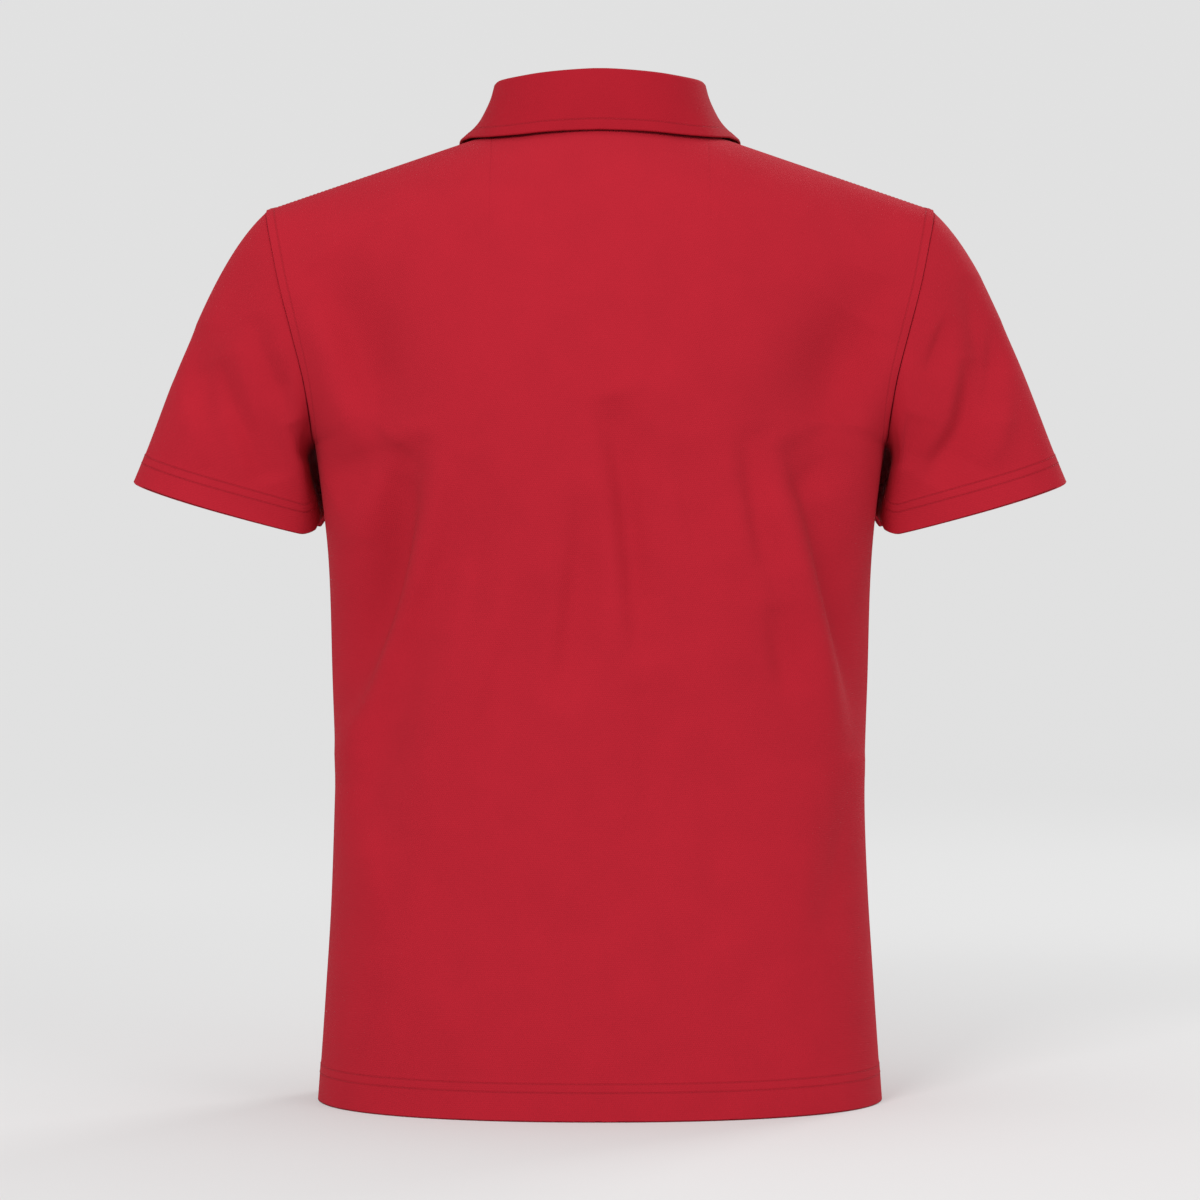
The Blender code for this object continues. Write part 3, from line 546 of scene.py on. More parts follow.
def make_pique_group():
    """Pique knit: small raised cells in a honeycomb, with painted shade between them, a fuzz of
    fibres and slow shifts of tone.
    """
    tree = bpy.data.node_groups.new("pique knit", "ShaderNodeTree")
    add_socket(tree, "Knit Colour", "INPUT", "Color")
    add_socket(tree, "Cell Size", "INPUT", "Float", CELL_SIZE)
    add_socket(tree, "Cell Height", "INPUT", "Float", CELL_HEIGHT)
    add_socket(tree, "Colour", "OUTPUT", "Color")
    add_socket(tree, "Height", "OUTPUT", "Float")
    add_socket(tree, "Roughness", "OUTPUT", "Float")
    entry = add_node(tree, "NodeGroupInput")
    out = add_node(tree, "NodeGroupOutput")
    cloth = add_node(tree, "ShaderNodeUVMap", uv_map="cloth")
    turns = put_math(tree, "DIVIDE", 2.0 * np.pi, entry.outputs["Cell Size"])
    waves = []
    for angle in (0.0, np.pi / 3.0, 2.0 * np.pi / 3.0):
        way = (np.sin(angle), np.cos(angle), 0.0)
        dot = add_node(tree, "ShaderNodeVectorMath", {0: cloth.outputs["UV"], 1: way},
                       operation="DOT_PRODUCT")
        phase = put_math(tree, "MULTIPLY", dot.outputs["Value"], turns)
        waves.append(put_math(tree, "COSINE", phase))
    pair = put_math(tree, "ADD", waves[0], waves[1])
    cells = put_math(tree, "ADD", pair, waves[2])
    place = {"Vector": add_node(tree, "ShaderNodeTexCoord").outputs["Object"]}
    fuzz = add_node(tree, "ShaderNodeTexNoise", FUZZ | place)
    tone = add_node(tree, "ShaderNodeTexNoise", SLOW_TONE | place)
    raised = put_math(tree, "MULTIPLY", cells, CELL_RELIEF)
    raised = put_math(tree, "ADD", raised, fuzz.outputs["Fac"])
    height = put_math(tree, "MULTIPLY", raised, entry.outputs["Cell Height"])
    # Painted shade: the colour follows the cells, darker between them and lighter on them.
    shade = put_math(tree, "MULTIPLY", cells, CELL_PAINTED_SHADE)
    fine = put_math(tree, "MULTIPLY", fuzz.outputs["Fac"], FUZZ_SHADE)
    slow = put_math(tree, "MULTIPLY", tone.outputs["Fac"], SLOW_SHADE)
    bright = put_math(tree, "ADD", shade, fine)
    bright = put_math(tree, "ADD", bright, slow)
    bright = put_math(tree, "ADD", bright, KNIT_BRIGHTNESS)
    tint = add_node(tree, "ShaderNodeVectorMath", {0: entry.outputs["Knit Colour"], "Scale": bright},
                    operation="SCALE")
    rough = put_math(tree, "MULTIPLY", fuzz.outputs["Fac"], FUZZ_ROUGHNESS)
    rough = put_math(tree, "ADD", rough, KNIT_ROUGHNESS)
    feed(tree, out, {"Colour": tint.outputs["Vector"], "Height": height, "Roughness": rough})
    return tree


def make_needle_group():
    """The groove that a line of stitches pulls into cloth, at a distance from an edge."""
    tree = bpy.data.node_groups.new("needle line", "ShaderNodeTree")
    for socket in ("Distance", "Line", "Width"):
        add_socket(tree, socket, "INPUT", "Float")
    add_socket(tree, "Groove", "OUTPUT", "Float")
    entry = add_node(tree, "NodeGroupInput")
    out = add_node(tree, "NodeGroupOutput")
    off = put_math(tree, "SUBTRACT", entry.outputs["Distance"], entry.outputs["Line"])
    off = put_math(tree, "DIVIDE", off, entry.outputs["Width"])
    off = put_math(tree, "MULTIPLY", off, off)
    off = put_math(tree, "MULTIPLY", off, -1.0)
    feed(tree, out, {"Groove": put_math(tree, "EXPONENT", off)})
    return tree


pique_group = make_pique_group()
needle_group = make_needle_group()
KNIT_RED = (0.382, 0.0128, 0.0245, 1.0)
KNIT_SHEEN = (1.0, 0.30, 0.32, 1.0)
GROOVE_WIDTH = 0.0007
GROOVE_DEPTH = 0.00022
# Painted shade: how much the colour is darkened along each stitch groove.
GROOVE_PAINTED_SHADE = 0.16


def make_knit(name, lines, knit_colour=KNIT_RED, groove_width=GROOVE_WIDTH):
    """Red pique knit, with painted shade darkening its colour along each stitch groove. lines are
    rows of map name, X or Y for U or V, and a groove's distance.
    """
    material, tree, shader = new_material(name, {
        "Sheen Weight": 0.03,
        "Sheen Roughness": 0.45,
        "Sheen Tint": KNIT_SHEEN,
        "Specular IOR Level": 0.06,
    })
    knit = add_node(tree, "ShaderNodeGroup", node_tree=pique_group)
    feed(tree, knit, {"Knit Colour": knit_colour, "Cell Height": CELL_HEIGHT})
    total = None
    for map_name, axis, line in lines:
        edge = add_node(tree, "ShaderNodeUVMap", uv_map=map_name)
        parts = add_node(tree, "ShaderNodeSeparateXYZ", {0: edge.outputs["UV"]})
        needle = add_node(tree, "ShaderNodeGroup", node_tree=needle_group)
        feed(tree, needle, {"Distance": parts.outputs[axis], "Line": line, "Width": groove_width})
        groove = needle.outputs["Groove"]
        total = groove if total is None else put_math(tree, "ADD", total, groove)
    colour = knit.outputs["Colour"]
    height = knit.outputs["Height"]
    if total is not None:
        # Painted shade: the knit's colour is darkened along each stitch groove, where shade falls
        # in its dip.
        shade = put_math(tree, "MULTIPLY", total, -GROOVE_PAINTED_SHADE)
        shade = put_math(tree, "ADD", shade, 1.0)
        dark = add_node(tree, "ShaderNodeVectorMath", {0: colour, "Scale": shade},
                        operation="SCALE")
        colour = dark.outputs["Vector"]
        dip = put_math(tree, "MULTIPLY", total, -GROOVE_DEPTH)
        height = put_math(tree, "ADD", height, dip)
    bump = add_node(tree, "ShaderNodeBump", {"Distance": 1.0, "Strength": 1.0, "Height": height})
    feed(tree, shader, {"Base Color": colour, "Roughness": knit.outputs["Roughness"],
                        "Normal": bump.outputs["Normal"]})
    return material


BODY_LINES_SEWN = [
    ("hem", "X", HEM_STITCHES[0]),
    ("hem", "X", HEM_STITCHES[1]),
    ("seams", "X", WELT_WIDTH),
]
back_knit = make_knit("red pique knit, back", BODY_LINES_SEWN + [("seams", "Y", SHOULDER_STITCH)])


def make_panel(side, material, used=None, slit=0.0):
    panel = panel_surface(side, slit)
    outer = keep_on_side(panel.points, side)
    inner = keep_on_side(panel.points - panel.normals * panel.thickness[..., None], side)
    maps = {
        "cloth": panel.cloth,
        "hem": np.stack([panel.hem, 0.0 * panel.hem], axis=-1),
        "seams": np.stack([panel.armhole, panel.shoulder], axis=-1),
    }
    piece = wall_mesh("knit_" + side, outer, inner, maps, used)
    piece.data.materials.append(material)
    return piece


back_piece = make_panel("back", back_knit)
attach(back_piece, "root")
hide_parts("back")


# The front: the same knit, cut deeper at the neck, and slit down the middle for the placket. It
# isn't seen in the photograph, so its folds are like those of the back: soft drags from the
# armholes and long folds that fall from the chest.
NECK_DEPTHS["front"] = 0.075
SLIT_HALF_WIDTH = 0.0163
YOKES["front"] = [
    YokeRow(0.00, 0.6380, 0.2400, 0.84, 0.7182, 0.000, 1.00),
    YokeRow(0.12, 0.6300, 0.2360, 0.80, 0.7110, 0.028, 1.12),
    YokeRow(0.25, 0.6080, 0.2285, 0.78, 0.6920, 0.049, 1.30),
    YokeRow(0.38, 0.5800, 0.2200, 0.75, 0.6600, 0.063, 1.50),
    YokeRow(0.52, 0.5480, 0.2110, 0.68, 0.6200, 0.074, 1.70),
    YokeRow(0.66, 0.5150, 0.2050, 0.56, 0.5800, 0.087, 1.90),
    YokeRow(0.80, 0.4870, 0.2030, 0.40, 0.5420, 0.101, 2.00),
    YokeRow(0.90, 0.4740, 0.2037, 0.23, 0.5110, 0.110, 2.00),
    YokeRow(1.00, 0.4680, 0.2045, 0.00, 0.4840, 0.115, 2.00),
]
FOLDS["front"] = [
    Fold([(0.208, 0.590), (0.173, 0.517), (0.128, 0.450)], 0.0151, -0.0075),
    Fold([(-0.206, 0.585), (-0.178, 0.517), (-0.138, 0.455)], 0.0144, -0.0083),
    Fold([(0.140, 0.470), (0.153, 0.344), (0.182, 0.220)], 0.0108, -0.0064),
    Fold([(-0.128, 0.480), (-0.150, 0.339), (-0.184, 0.200)], 0.0115, -0.0068),
    Fold([(0.112, 0.440), (0.130, 0.329), (0.160, 0.220)], 0.0101, 0.0045),
    Fold([(0.036, 0.430), (0.045, 0.300), (0.062, 0.170)], 0.0115, -0.0042),
    Fold([(-0.044, 0.410), (-0.056, 0.280), (-0.076, 0.150)], 0.0108, -0.0049),
    Fold([(-0.092, 0.400), (-0.112, 0.254), (-0.140, 0.110)], 0.0122, 0.0042),
    Fold([(0.170, 0.560), (0.149, 0.513), (0.120, 0.470)], 0.0072, -0.0028),
    Fold([(-0.168, 0.558), (-0.146, 0.515), (-0.116, 0.478)], 0.0072, -0.0026),
    Fold([(0.176, 0.470), (0.149, 0.444), (0.118, 0.425)], 0.0065, -0.0026),
    Fold([(-0.176, 0.470), (-0.153, 0.442), (-0.124, 0.420)], 0.0065, -0.0026),
    Fold([(0.020, 0.450), (0.022, 0.375), (0.030, 0.300)], 0.0065, -0.0023),
    Fold([(-0.018, 0.445), (-0.023, 0.367), (-0.034, 0.290)], 0.0072, -0.0022),
    Fold([(0.082, 0.380), (0.085, 0.290), (0.096, 0.200)], 0.0079, 0.0022),
    Fold([(0.006, 0.330), (0.006, 0.220), (0.010, 0.110)], 0.0086, 0.0020),
]
COLUMNS["front"] = [Stretch(64, 1.3), Stretch(22, 1.2), Stretch(6, 1.0)]
front_knit = make_knit("red pique knit, front", BODY_LINES_SEWN)
front_columns = len(column_layout("front")[0])
front_cells = np.ones((len(YOKE_LINES) + len(BODY_LINES) - 1, front_columns - 1), dtype=bool)
slit_reach = COLUMNS["front"][-1].count
front_cells[:len(YOKE_LINES) - 1,
            front_columns // 2 - slit_reach:front_columns // 2 + slit_reach] = False
front_piece = make_panel("front", front_knit, front_cells, SLIT_HALF_WIDTH)
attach(front_piece, "root")
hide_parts("front")


# The sleeves: each a tube of the same knit, set into its armhole and closed with a seam under the
# arm. They hang out and a little forwards, with soft creases across the upper arm, and end in a
# hem sewn with a twin needle.
CUFF_MIDDLE = (0.2700, -0.022, 0.4244)
CUFF_HALF_WIDTH = 0.0683
CUFF_HALF_DEPTH = 0.048
CUFF_RISE = 0.2785
CUFF_DROP_BEHIND = 0.100
CUFF_INNER_LIFT = 0.008
CUFF_LIFT_START = 0.8
CUFF_FLARE = 0.15
CUFF_BACK_POWER = 3.5
CUFF_FRONT_POWER = 2.15
PRESS_DEPTH = 0.0148
PRESS_PLACE = -0.046
PRESS_WIDTH = 0.0155
PRESS_FROM = 0.05
PRESS_TO = 0.45
CUFF_CORNER = 0.2045
CUFF_CORNER_SLOPE = 1.7
CUFF_CORNER_RISE = 0.016
CUFF_CORNER_POWER = 8
ARMHOLE_STEP = 0.0009
UNDERARM_LIFT = 0.0007
UNDERARM_PUSH = 1.6
SLEEVE_START = 0.78
SLEEVE_END = 0.85
FOLDS_BEHIND = 0.42
SLEEVE_SIDES = {"sleeve_left": 1.0, "sleeve_right": -1.0}
SLEEVE_LINES = 1.0 - (1.0 - np.linspace(0.0, 1.0, 84)) ** 1.25
CUFF_HEM_HEIGHT = 0.0225
CUFF_STITCHES = (0.0160, 0.0220)
SLEEVE_FOLDS = {
    "sleeve_left": [
        Fold([(0.289, 0.556), (0.291, 0.525), (0.287, 0.502), (0.279, 0.480)], 0.0110, -0.0066),
        Fold([(0.269, 0.530), (0.259, 0.492), (0.249, 0.472), (0.238, 0.440)], 0.0099, -0.0073),
        Fold([(0.262, 0.550), (0.249, 0.492), (0.236, 0.450)], 0.0110, 0.0046),
        Fold([(0.244, 0.560), (0.234, 0.522), (0.225, 0.502), (0.219, 0.484)], 0.0099, -0.0066),
        Fold([(0.234, 0.568), (0.227, 0.535), (0.222, 0.512)], 0.0088, 0.0033),
        Fold([(0.296, 0.520), (0.292, 0.485), (0.281, 0.452)], 0.0110, 0.0043),
        Fold([(0.218, 0.482), (0.213, 0.470), (0.210, 0.455)], 0.0066, -0.0030),
    ],
    "sleeve_right": [
        Fold([(0.248, 0.560), (0.240, 0.540), (0.231, 0.518)], 0.0060, -0.0046),
        Fold([(0.263, 0.530), (0.260, 0.497), (0.255, 0.479), (0.244, 0.462), (0.233, 0.442)],
             0.0088, -0.0073),
        Fold([(0.264, 0.590), (0.271, 0.543), (0.276, 0.518), (0.279, 0.485)], 0.0132, -0.0053),
        Fold([(0.286, 0.560), (0.283, 0.518), (0.276, 0.488)], 0.0077, -0.0043),
        Fold([(0.290, 0.525), (0.287, 0.485), (0.274, 0.452)], 0.0121, 0.0053),
        Fold([(0.252, 0.535), (0.247, 0.502), (0.234, 0.458)], 0.0110, 0.0036),
        Fold([(0.222, 0.490), (0.216, 0.470), (0.213, 0.452)], 0.0077, -0.0033),
    ],
}
FRONT_SLEEVE_FOLDS = [
    Fold([(0.270, 0.570), (0.263, 0.519), (0.250, 0.470)], 0.0086, -0.0049),
    Fold([(0.248, 0.520), (0.244, 0.485), (0.236, 0.450)], 0.0072, -0.0038),
    Fold([(0.292, 0.540), (0.293, 0.495), (0.290, 0.450)], 0.0086, 0.0029),
]


def armhole_loop():
    """The wearer's left armhole: tip, down the back, underarm and up the front."""
    last = len(YOKE_LINES)
    back = panel_surface("back")
    front = panel_surface("front", SLIT_HALF_WIDTH)
    points = np.concatenate([back.points[:last, 0], front.points[:last, 0][-2:0:-1]])
    normals = np.concatenate([back.normals[:last, 0], front.normals[:last, 0][-2:0:-1]])
    points = points - WELT_RAISE * normals
    for shared in (0, last - 1):
        normals[shared, 1] = 0.0
    normals = unit(normals)
    away = np.cross(np.roll(points, -1, axis=0) - np.roll(points, 1, axis=0), normals)
    return points, normals, unit(away)


def cuff_ring(count):
    """Points of the cuff's outer edge, and which way the sleeve runs there."""
    turn = np.linspace(0.0, 2.0 * np.pi, count, endpoint=False)
    squareness = np.where(np.sin(turn) > 0.0, CUFF_BACK_POWER, CUFF_FRONT_POWER)
    power = 2.0 + (squareness - 2.0) * np.clip(-np.cos(turn), 0.0, 1.0)
    across = np.sign(np.cos(turn)) * np.abs(np.cos(turn)) ** (2.0 / power)
    behind = np.sign(np.sin(turn)) * np.abs(np.sin(turn)) ** (2.0 / power)
    outwards = np.array([1.0, 0.0, CUFF_RISE])
    backwards = np.array([0.0, 1.0, -CUFF_DROP_BEHIND])
    axis = unit(-np.cross(outwards, backwards))
    offset = (across[:, None] * CUFF_HALF_WIDTH * outwards
              + behind[:, None] * CUFF_HALF_DEPTH * backwards)
    run = unit(axis + CUFF_FLARE * unit(offset))
    inner = np.clip((-across - CUFF_LIFT_START) / (1.0 - CUFF_LIFT_START), 0.0, 1.0)
    offset[:, 2] += CUFF_INNER_LIFT * inner**2
    return np.array(CUFF_MIDDLE) + offset, run


def ring_normals(rings):
    """Unit normals of a tube of rings, pointing away from its middle line."""
    around = np.roll(rings, -1, axis=1) - np.roll(rings, 1, axis=1)
    normals = unit(np.cross(np.gradient(rings, axis=0), around))
    outward = rings - rings.mean(axis=1, keepdims=True)
    return normals * np.sign(np.sum(normals * outward))


Sleeve = namedtuple("Sleeve", "points normals thickness cloth hem")


@cache
def sleeve_surface(name):
    """A sleeve's rings of outer points, from the armhole to the cuff, on the wearer's left."""
    seam, panel_normals, away = armhole_loop()
    count = len(seam)
    turn = np.linspace(0.0, 2.0 * np.pi, count, endpoint=False)[:, None]
    upper = 0.5 + 0.5 * np.cos(turn)
    under = (1.0 - upper) ** 3
    lift = UNDERARM_LIFT * under - ARMHOLE_STEP * upper
    start = seam + SEAM_GAP * away + lift * panel_normals
    end, end_run = cuff_ring(count)
    length = np.linalg.norm(end - start, axis=-1, keepdims=True)
    start_run = unit((end - start) / length + upper * away + UNDERARM_PUSH * under * panel_normals)
    points = smooth_run(SLEEVE_LINES[:, None, None], start, SLEEVE_START * length * start_run,
                        end, SLEEVE_END * length * end_run)
    normals = ring_normals(points)
    press = PRESS_DEPTH * np.exp(-((points[..., 1] - PRESS_PLACE) / PRESS_WIDTH) ** 2)
    press *= np.clip(-normals[..., 0], 0.0, 1.0)
    press *= 1.0 - soft_step(SLEEVE_LINES, PRESS_FROM, PRESS_TO)[:, None]
    points[..., 0] -= press
    corner = np.clip((CUFF_CORNER - points[..., 0]) * CUFF_CORNER_SLOPE, 0.0, CUFF_CORNER_RISE)
    points[..., 2] += corner * (SLEEVE_LINES**CUFF_CORNER_POWER)[:, None]
    normals = ring_normals(points)
    fade = np.sin(np.pi * np.linspace(0.0, 1.0, len(SLEEVE_LINES)))[:, None] ** 0.5
    behind = np.clip(points[..., 1] / CUFF_HALF_DEPTH + FOLDS_BEHIND, 0.0, 1.0)
    before = np.clip(-points[..., 1] / CUFF_HALF_DEPTH - FOLDS_BEHIND, 0.0, 1.0)
    x, height = points[..., 0], points[..., 2]
    depth = fold_depth(SLEEVE_FOLDS[name], x, height, SLEEVE_SIDES[name]) * behind
    depth += fold_depth(FRONT_SLEEVE_FOLDS, x, height) * before
    points = points + normals * (depth * fade)[..., None]
    normals = ring_normals(points)
    down = length_along(points, 0)
    hem = down[-1] - down
    points = points + normals * (HEM_RAISE * doubled(hem, CUFF_HEM_HEIGHT, HEM_STEP))[..., None]
    lean = np.maximum(np.sum(normals[0] * away, axis=-1, keepdims=True), 0.0)
    normals[0] = unit(normals[0] - lean * away)
    thickness = hem_wall(hem, CUFF_HEM_HEIGHT)
    around = length_along(np.concatenate([points, points[:, :1]], axis=1), 1)[:, :-1]
    return Sleeve(points, normals, thickness, np.stack([around, down], axis=-1), hem)


sleeve_knit = make_knit("red pique knit, sleeves", [("hem", "X", place) for place in CUFF_STITCHES])
for sleeve_name, mirror in SLEEVE_SIDES.items():
    sleeve = sleeve_surface(sleeve_name)
    flip = np.array([mirror, 1.0, 1.0])
    sleeve_outer = sleeve.points * flip
    sleeve_inner = (sleeve.points - sleeve.normals * sleeve.thickness[..., None]) * flip
    sleeve_maps = {"cloth": sleeve.cloth, "hem": np.stack([sleeve.hem, 0.0 * sleeve.hem], axis=-1)}
    sleeve_piece = wall_mesh("knit_" + sleeve_name, sleeve_outer, sleeve_inner, sleeve_maps,
                             closed=True)
    sleeve_piece.data.materials.append(sleeve_knit)
    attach(sleeve_piece, "root")
    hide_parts(sleeve_name)


# The placket: two bands of the same knit with a stiff lining inside them, sewn to the edges of the
# slit and lapped over each other, the wearer's left over the right. Topstitching runs round the
# upper band, with a box at its foot. It isn't seen in the photograph.
PLACKET_HALF_WIDTH = 0.016
PLACKET_PROUD = 0.0010
PLACKET_CLOTH = 0.0016
UNDER_BAND_GAP = 0.0003
PLACKET_STITCH = 0.0022
PLACKET_BOX = 0.018
PLACKET_COLUMNS = 24
PLACKET_SPREAD = 1.06
PLACKET_FOOT = 0.0012
PLACKET_GROOVE = 0.0006
PLACKET_FACING = (0.0, -1.0, 0.2)


@cache
def placket_surface(spread, foot):
    """Points and normals of the front's surface over the placket, and cloth lengths."""
    shares = np.linspace(1.0, -1.0, PLACKET_COLUMNS + 1) * spread
    on_right = shares < 0.0

    def turn_at(level):
        turn = turn_at_width(measures("front", level), np.abs(shares) * PLACKET_HALF_WIDTH)
        return np.where(on_right, np.pi - turn, turn)

    top = neck_levels("front", turn_at, len(shares))
    level = top + (1.0 - top) * np.linspace(0.0, 1.0, len(YOKE_LINES))[:, None]
    points = torso_points("front", level, turn_at(level))
    points[-1, :, 2] += foot
    outward = np.broadcast_to(PLACKET_FACING, points.shape)
    across = length_along(points, 1)
    down = length_along(points, 0)
    return points, grid_normals(points, outward), np.stack([across - across[:, [0]], down], axis=-1)


def make_band(name, offset, spread, foot, material):
    points, normals, cloth = placket_surface(spread, foot)
    outer = points + offset * normals
    width = cloth[..., 0].max(axis=1, keepdims=True)
    to_side = np.minimum(cloth[..., 0], width - cloth[..., 0])
    to_foot = cloth[-1:, :, 1] - cloth[..., 1]
    maps = {"cloth": cloth, "hem": np.stack([to_side, to_foot], axis=-1)}
    piece = wall_mesh(name, outer, outer - PLACKET_CLOTH * normals, maps)
    piece.data.materials.append(material)
    return piece


band_knit = make_knit("red pique knit, placket", [("hem", "X", PLACKET_STITCH)],
                      groove_width=PLACKET_GROOVE)
upper_band = make_band("knit_placket_upper", PLACKET_PROUD, PLACKET_SPREAD, -PLACKET_FOOT,
                       band_knit)
under_offset = PLACKET_PROUD - PLACKET_CLOTH - UNDER_BAND_GAP
under_band = make_band("knit_placket_under", under_offset, 1.0, 0.0, band_knit)
for band, node in ((upper_band, "placket_upper"), (under_band, "placket_under")):
    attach(band, "root")
    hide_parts(node)


# The collar: a stand and a fall of doubled knit with a lining, sewn to the neck edge and turned
# over at the fold. It is topstitched a presser foot's width from its edge. Its points lie open
# over the top of the placket.
CollarRow = namedtuple("CollarRow", "station lean rise edge_x edge_y edge_height bow")
COLLAR = [
    CollarRow(0.00, 0.005, 0.0352, 0.0000, 0.0751, 0.6873, 0.0016),
    CollarRow(0.17, 0.005, 0.0380, 0.0412, 0.0685, 0.6863, 0.0010),
    CollarRow(0.25, 0.0055, 0.0379, 0.0594, 0.0621, 0.6853, 0.0005),
    CollarRow(0.34, 0.006, 0.0374, 0.0790, 0.0469, 0.6857, 0.0000),
    CollarRow(0.47, 0.008, 0.0345, 0.0992, 0.0020, 0.6896, -0.0016),
    CollarRow(0.55, 0.009, 0.0330, 0.1025, -0.0200, 0.6868, -0.0010),
    CollarRow(0.63, 0.009, 0.0320, 0.1025, -0.0462, 0.6732, 0.0030),
    CollarRow(0.80, 0.008, 0.0305, 0.0850, -0.0730, 0.6270, 0.0045),
    CollarRow(1.00, 0.006, 0.0290, 0.0550, -0.0885, 0.5830, 0.0020),
]
COLLAR_CLOTH = 0.0018
ROLL_RADIUS = 0.0030
ROLL_END_ANGLE = 0.377
ROLL_STEPS = 14
LEAF_STEPS = 40
BOW_LIFT = 0.7
STAND_STEPS = 14
STAND_SEAM_GAP = 0.0001
STAND_TOP_GAP = 0.0001
COLLAR_FRONT_GAP = 0.0010
COLLAR_STITCH = 0.0080
COLLAR_RAISE = 0.0003
COLLAR_STEP = EdgeStep(-0.0012, 0.0012)


def neck_seam():
    """Points of the neck seam from the middle of the back to the wearer's left front edge."""
    back = panel_surface("back").points
    front = panel_surface("front", SLIT_HALF_WIDTH).points
    neck_column = COLUMNS["back"][0].count
    behind = back[0, back.shape[1] // 2:neck_column - 1:-1]
    before = front[0, neck_column + 1:front.shape[1] // 2]
    end = front[0, front.shape[1] // 2]
    before = before[before[:, 0] > COLLAR_FRONT_GAP]
    last = before[-1] + (end - before[-1]) * (1.0 - COLLAR_FRONT_GAP / before[-1, 0])
    return np.concatenate([behind, before, last[None]])


@cache
def collar_lines():
    """Neck seam, fold, leaf edge and bow at each station, and the way out from the neck."""
    seam = neck_seam()
    station = length_along(seam, 0)
    station = station / station[-1]
    tangent = np.gradient(seam, axis=0)
    out = unit(np.stack([-tangent[:, 1], tangent[:, 0], np.zeros(len(seam))], axis=-1))
    lean = smooth_through(COLLAR, "lean", station)
    rise = smooth_through(COLLAR, "rise", station)
    fold = seam - out * lean[:, None] + UP * rise[:, None]
    edge = np.stack([smooth_through(COLLAR, name, station)
                     for name in ("edge_x", "edge_y", "edge_height")], axis=-1)
    return seam, fold, edge, smooth_through(COLLAR, "bow", station), out


def mirrored(line):
    return line * np.array([-1.0, 1.0, 1.0])


def both_sides(half):
    """A half pattern of points, joined to its mirror image at the middle of the back."""
    return np.concatenate([mirrored(half[:0:-1]), half])


def make_collar_wall(name, lines, facing, material, edge_raise=0.0):
    """A wall of the collar, its distance from its free edges, and its points and normals."""
    normals = grid_normals(lines, facing)
    edge = np.concatenate([lines[:, 0][::-1], lines[-1], lines[::-1, -1]])
    distance = distance_to_line(lines, edge)
    raised = edge_raise * doubled(distance, COLLAR_STITCH, COLLAR_STEP)
    lines = lines + normals * raised[..., None]
    across = length_along(lines, 1)
    cloth = np.stack([across - across[:, [lines.shape[1] // 2]], length_along(lines, 0)], axis=-1)
    maps = {"cloth": cloth, "hem": np.stack([distance, 0.0 * distance], axis=-1)}
    piece = wall_mesh(name, lines, lines - COLLAR_CLOTH * normals, maps)
    piece.data.materials.append(material)
    return piece, distance, lines, normals


seam_line, fold_line, leaf_edge, leaf_bow, collar_out = collar_lines()
collar_up = unit(fold_line - seam_line)
roll_radius = ROLL_RADIUS + 0.5 * COLLAR_CLOTH
stand_foot = seam_line + STAND_SEAM_GAP * collar_up
stand_top = fold_line - collar_up * (roll_radius + STAND_TOP_GAP)
stand_rows = np.array([both_sides(stand_foot + (stand_top - stand_foot) * share)
                       for share in np.linspace(0.0, 1.0, STAND_STEPS + 1)])
stand_facing = np.array([both_sides(collar_out)] * len(stand_rows))

roll_middle = (fold_line - collar_up * roll_radius
               + collar_out * (ROLL_RADIUS - 0.5 * COLLAR_CLOTH))
leaf_rows = []
for angle in np.linspace(np.pi, ROLL_END_ANGLE, ROLL_STEPS + 1):
    spoke = np.cos(angle) * collar_out + np.sin(angle) * collar_up
    leaf_rows.append(roll_middle + roll_radius * spoke)
roll_end = leaf_rows[-1]
bow_way = (collar_out + BOW_LIFT * UP) * leaf_bow[:, None]
for share in np.linspace(0.0, 1.0, LEAF_STEPS + 1)[1:]:
    leaf_rows.append(roll_end + (leaf_edge - roll_end) * share + bow_way * np.sin(np.pi * share))
leaf_rows = np.array([both_sides(row) for row in leaf_rows])
leaf_facing = np.array([both_sides(collar_out)] * len(leaf_rows))
for row, share in enumerate(np.linspace(-1.0, 1.0, ROLL_STEPS + 1)):
    leaf_facing[row] = share * leaf_facing[row] + (1.0 - abs(share)) * UP

# The collar's knit is given a darker red than the rest of the shirt.
COLLAR_RED = (0.330, 0.0090, 0.0185, 1.0)
stand_knit = make_knit("red pique knit, collar stand", [], knit_colour=COLLAR_RED)
leaf_knit = make_knit("red pique knit, collar leaf", [("hem", "X", COLLAR_STITCH)], knit_colour=COLLAR_RED)
stand_piece, *_ = make_collar_wall("knit_collar_stand", stand_rows, stand_facing, stand_knit)
leaf_piece, leaf_distance, leaf_points, leaf_normals = make_collar_wall(
    "knit_collar_leaf", leaf_rows, leaf_facing, leaf_knit, COLLAR_RAISE)
for collar_piece, node in ((stand_piece, "collar_stand"), (leaf_piece, "collar_leaf")):
    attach(collar_piece, "root")
    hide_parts(node)


# The topstitching: rows of polyester thread in the shirt's own red, a shade shinier than the
# knit. Each row is a line of short, slightly sunk stitches.
THREAD_RADIUS = 0.00022
STITCH_PITCH = 0.0029
STITCH_LENGTH = 0.0022
THREAD_LIFT = 0.00004
THREAD_RED = (0.395, 0.0135, 0.0255, 1.0)
TWIST = {"Scale": 2600.0}
TWIST_DEPTH = 0.00006
DARK_SHARE = 0.86
ARMHOLE_ENDS = (3, 2)
SHOULDER_ROWS = 30
SHOULDER_ENDS = (4, 2)
LEAF_ROW_PAST_CORNER = -12
LEAF_CORNER_ROWS = 8
BAND_ENDS = 2


